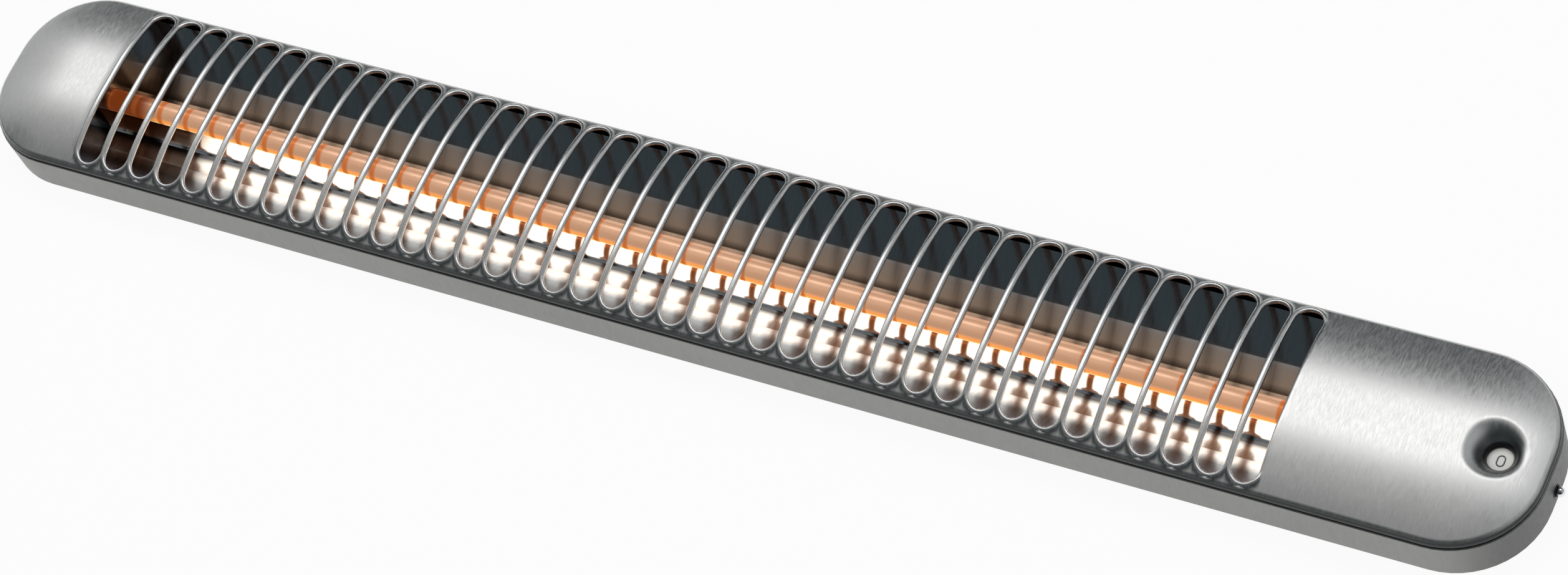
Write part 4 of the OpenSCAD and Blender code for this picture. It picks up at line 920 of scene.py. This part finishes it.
# Finish of every slot in the record: what makes it, then its colour and roughness, and after
# them the marks per metre each way, or the grains per metre, their depth and their contrast
OWN_FINISHES = {
    "satin_aluminium": satin_tray, "mirror_aluminium": bright_reflector,
    "tinted_quartz": glowing_tube, "hot_element": hot_wire,
}
SHARED_FINISHES = {
    "shield_board": (grained, (0.66, 0.60, 0.50), 0.85, 900.0, 0.0001, 0.20),
    "zinc_steel": (brushed_metal, (0.62, 0.63, 0.62), 0.32, (1500, 1500, 500)),
    "white_ceramic": (grained, (0.84, 0.82, 0.77), 0.52, 2200.0, 0.00004),
    "brown_phenolic": (grained, (0.085, 0.048, 0.030), 0.38, 2000.0),
    "cream_plastic": (grained, (0.76, 0.72, 0.62), 0.42, 3000.0),
    "contact_brass": (brushed_metal, (0.78, 0.58, 0.26), 0.27, (1800, 400, 400)),
    "black_rubber": (grained, (0.020, 0.020, 0.021), 0.62, 2600.0, 0.00004),
    "brown_sleeve": (sleeve, (0.10, 0.035, 0.015), 0.55),
    "black_sleeve": (sleeve, (0.015, 0.015, 0.016), 0.55),
    "white_sleeve": (sleeve, (0.78, 0.77, 0.72), 0.70),
    "blue_sleeve": (sleeve, (0.020, 0.070, 0.290), 0.55),
    "green_sleeve": (sleeve, (0.050, 0.230, 0.030), 0.55),
    "ball_chrome": (polished, (0.82, 0.83, 0.84), 0.06),
    "black_plastic": (grained, (0.012, 0.012, 0.013), 0.30, 2600.0, 0.00001),
    "spring_steel": (polished, (0.60, 0.61, 0.62), 0.20),
    "blue_plastic": (grained, (0.10, 0.22, 0.40), 0.40, 3000.0),
    "white_plastic": (grained, (0.80, 0.79, 0.75), 0.38, 3000.0, 0.00001, 0.04),
    "grey_ink": (grained, (0.10, 0.10, 0.105), 0.60, 3000.0, 0.00001),
}


def dress_nodes():
    """Gives every CAD node the finish of its slot in the record."""
    made = {slot: build() for slot, build in OWN_FINISHES.items()}
    for slot, (build, *values) in SHARED_FINISHES.items():
        made[slot] = build(slot, *values)
    for part in frame["record"]["subparts"]:
        materials = frame["nodes"][part["node"]].data.materials
        materials.clear()
        materials.append(made[part["material_slot"]])
    return made


# Floor: half its side, its level just under the back, and how white the camera sees it
FLOOR_HALF = 15.0
FLOOR_Z = -0.0003
FLOOR_WHITE = 0.92

# Directions of the pale parts of the surroundings, and where they rise from 0 to 1
CEILING_WAY = (-0.24, 0.02, 0.97)
CEILING_EDGE = (0.72, 1.0)
END_WALL_WAY = (0.85, 0.45, 0.28)
END_WALL_EDGE = (0.35, 0.85)

# Camera fitted to the photograph: its axes and its place
CAMERA_RIGHT = (0.8751, 0.4084, -0.2594)
CAMERA_UP = (-0.2354, 0.8278, 0.5093)
CAMERA_BACK = (0.4228, -0.3846, 0.8206)
CAMERA_PLACE = (0.75515, -0.66540, 1.42120)


def make_floor():
    """Pale floor just under the back, white to the camera and in reflections, where it keeps a
    part of its shade. It is seen from above only, so the back shows from below."""
    mesh = bpy.data.meshes.new("studio_floor")
    corners = [(x * FLOOR_HALF, y * FLOOR_HALF, FLOOR_Z)
               for x, y in ((-1, -1), (1, -1), (1, 1), (-1, 1))]
    mesh.from_pydata(corners, [], [(0, 1, 2, 3)])
    material = bpy.data.materials.new("studio_floor")
    material.use_nodes = True
    tree = material.node_tree
    tree.nodes.clear()
    matt = add(tree, "ShaderNodeBsdfDiffuse", {"Color": (0.9, 0.9, 0.9, 1)})
    white = add(tree, "ShaderNodeEmission", {"Color": (1, 1, 1, 1), "Strength": 1.0})
    rays = add(tree, "ShaderNodeLightPath").outputs
    seen = math_node(tree, "MAXIMUM", rays["Is Camera Ray"],
                     math_node(tree, "MAXIMUM", rays["Is Glossy Ray"],
                               rays["Is Transmission Ray"]))
    top = add(tree, "ShaderNodeMixShader", {0: math_node(tree, "MULTIPLY", seen, FLOOR_WHITE),
                                            1: matt.outputs[0], 2: white.outputs[0]})
    clear = add(tree, "ShaderNodeBsdfTransparent")
    under = add(tree, "ShaderNodeNewGeometry").outputs["Backfacing"]
    one_sided = add(tree, "ShaderNodeMixShader", {0: under, 1: top.outputs[0],
                                                  2: clear.outputs[0]})
    add(tree, "ShaderNodeOutputMaterial", {"Surface": one_sided.outputs[0]})
    mesh.materials.append(material)
    floor = bpy.data.objects.new("studio_floor", mesh)
    bpy.context.scene.collection.objects.link(floor)


def make_world():
    """Studio surroundings by direction: dark cool walls, a soft grey ceiling and a grey wall
    past the right end. All rays see the same."""
    world = bpy.data.worlds.new("studio")
    bpy.context.scene.world = world
    world.use_nodes = True
    tree = world.node_tree
    direction = add(tree, "ShaderNodeTexCoord").outputs["Generated"]
    colour = (0.032, 0.041, 0.045)
    for way, edge, shade in ((CEILING_WAY, CEILING_EDGE, (0.34, 0.34, 0.34)),
                             (END_WALL_WAY, END_WALL_EDGE, (0.36, 0.37, 0.38))):
        towards = vector_math(tree, "DOT_PRODUCT", direction, way, "Value")
        colour = blend_colour(tree, span(tree, towards, *edge), colour, shade)
    background = tree.nodes["Background"]
    tree.links.new(colour, background.inputs["Color"])
    background.inputs["Strength"].default_value = 1.0


def placed(right, up, back, place):
    """Matrix that turns a lamp or the camera to three axes and puts it at a place."""
    columns = np.stack([right, up, back, place], -1)
    return Matrix(np.vstack([columns, [0, 0, 0, 1]]).tolist())


def softbox(name, place, target, size_x, size_y, radiance, glossy=True):
    """Rectangular lamp aimed at a target, which shows in metal at a given brightness. Its width
    stays square to Y."""
    lamp = bpy.data.lights.new(name, "AREA")
    lamp.shape = "RECTANGLE"
    lamp.size, lamp.size_y = size_x, size_y
    lamp.energy = radiance * math.pi * size_x * size_y
    lamp_object = bpy.data.objects.new(name, lamp)
    bpy.context.scene.collection.objects.link(lamp_object)
    back = np.subtract(place, target)
    back /= np.linalg.norm(back)
    right = np.cross([0, 1, 0], back)
    right /= np.linalg.norm(right)
    lamp_object.matrix_world = placed(right, np.cross(back, right), back, place)
    lamp_object.visible_glossy = glossy
    lamp_object.visible_camera = False


def make_lamps():
    """Softbox over the far side for the band of light along the dome, a low one at the left
    end, and a broad fill that only matt surfaces take."""
    softbox("overhead", place=(-0.40, 0.68, 1.50), target=(-0.40, 0.68, 0.0),
            size_x=2.70, size_y=0.60, radiance=1.75)
    softbox("left_fill", place=(-1.70, 0.45, 0.75), target=(-0.30, 0.0, 0.0),
            size_x=1.0, size_y=1.0, radiance=0.45)
    softbox("matt_fill", place=(0.3, -0.7, 1.9), target=(0.0, 0.0, 0.0),
            size_x=2.4, size_y=2.4, radiance=1.3, glossy=False)


def make_camera():
    """Camera at the photograph's viewing angle, from its fitted place and axes."""
    camera = bpy.data.cameras.new("camera")
    camera.lens = 96.58
    camera.sensor_width = 36.0
    camera.shift_x, camera.shift_y = 0.0008, 0.0006
    camera_object = bpy.data.objects.new("camera", camera)
    bpy.context.scene.collection.objects.link(camera_object)
    camera_object.matrix_world = placed(CAMERA_RIGHT, CAMERA_UP, CAMERA_BACK, CAMERA_PLACE)
    bpy.context.scene.camera = camera_object


make_camera()
finishes = dress_nodes()
make_cover(satin_cover())
make_reflector(finishes["mirror_aluminium"])
make_tube(finishes["tinted_quartz"])
make_coil(finishes["hot_element"])
make_return_spring(finishes["spring_steel"])
make_ball(finishes["ball_chrome"])
make_floor()
make_world()
make_lamps()
bpy.context.scene.view_settings.view_transform = "Standard"
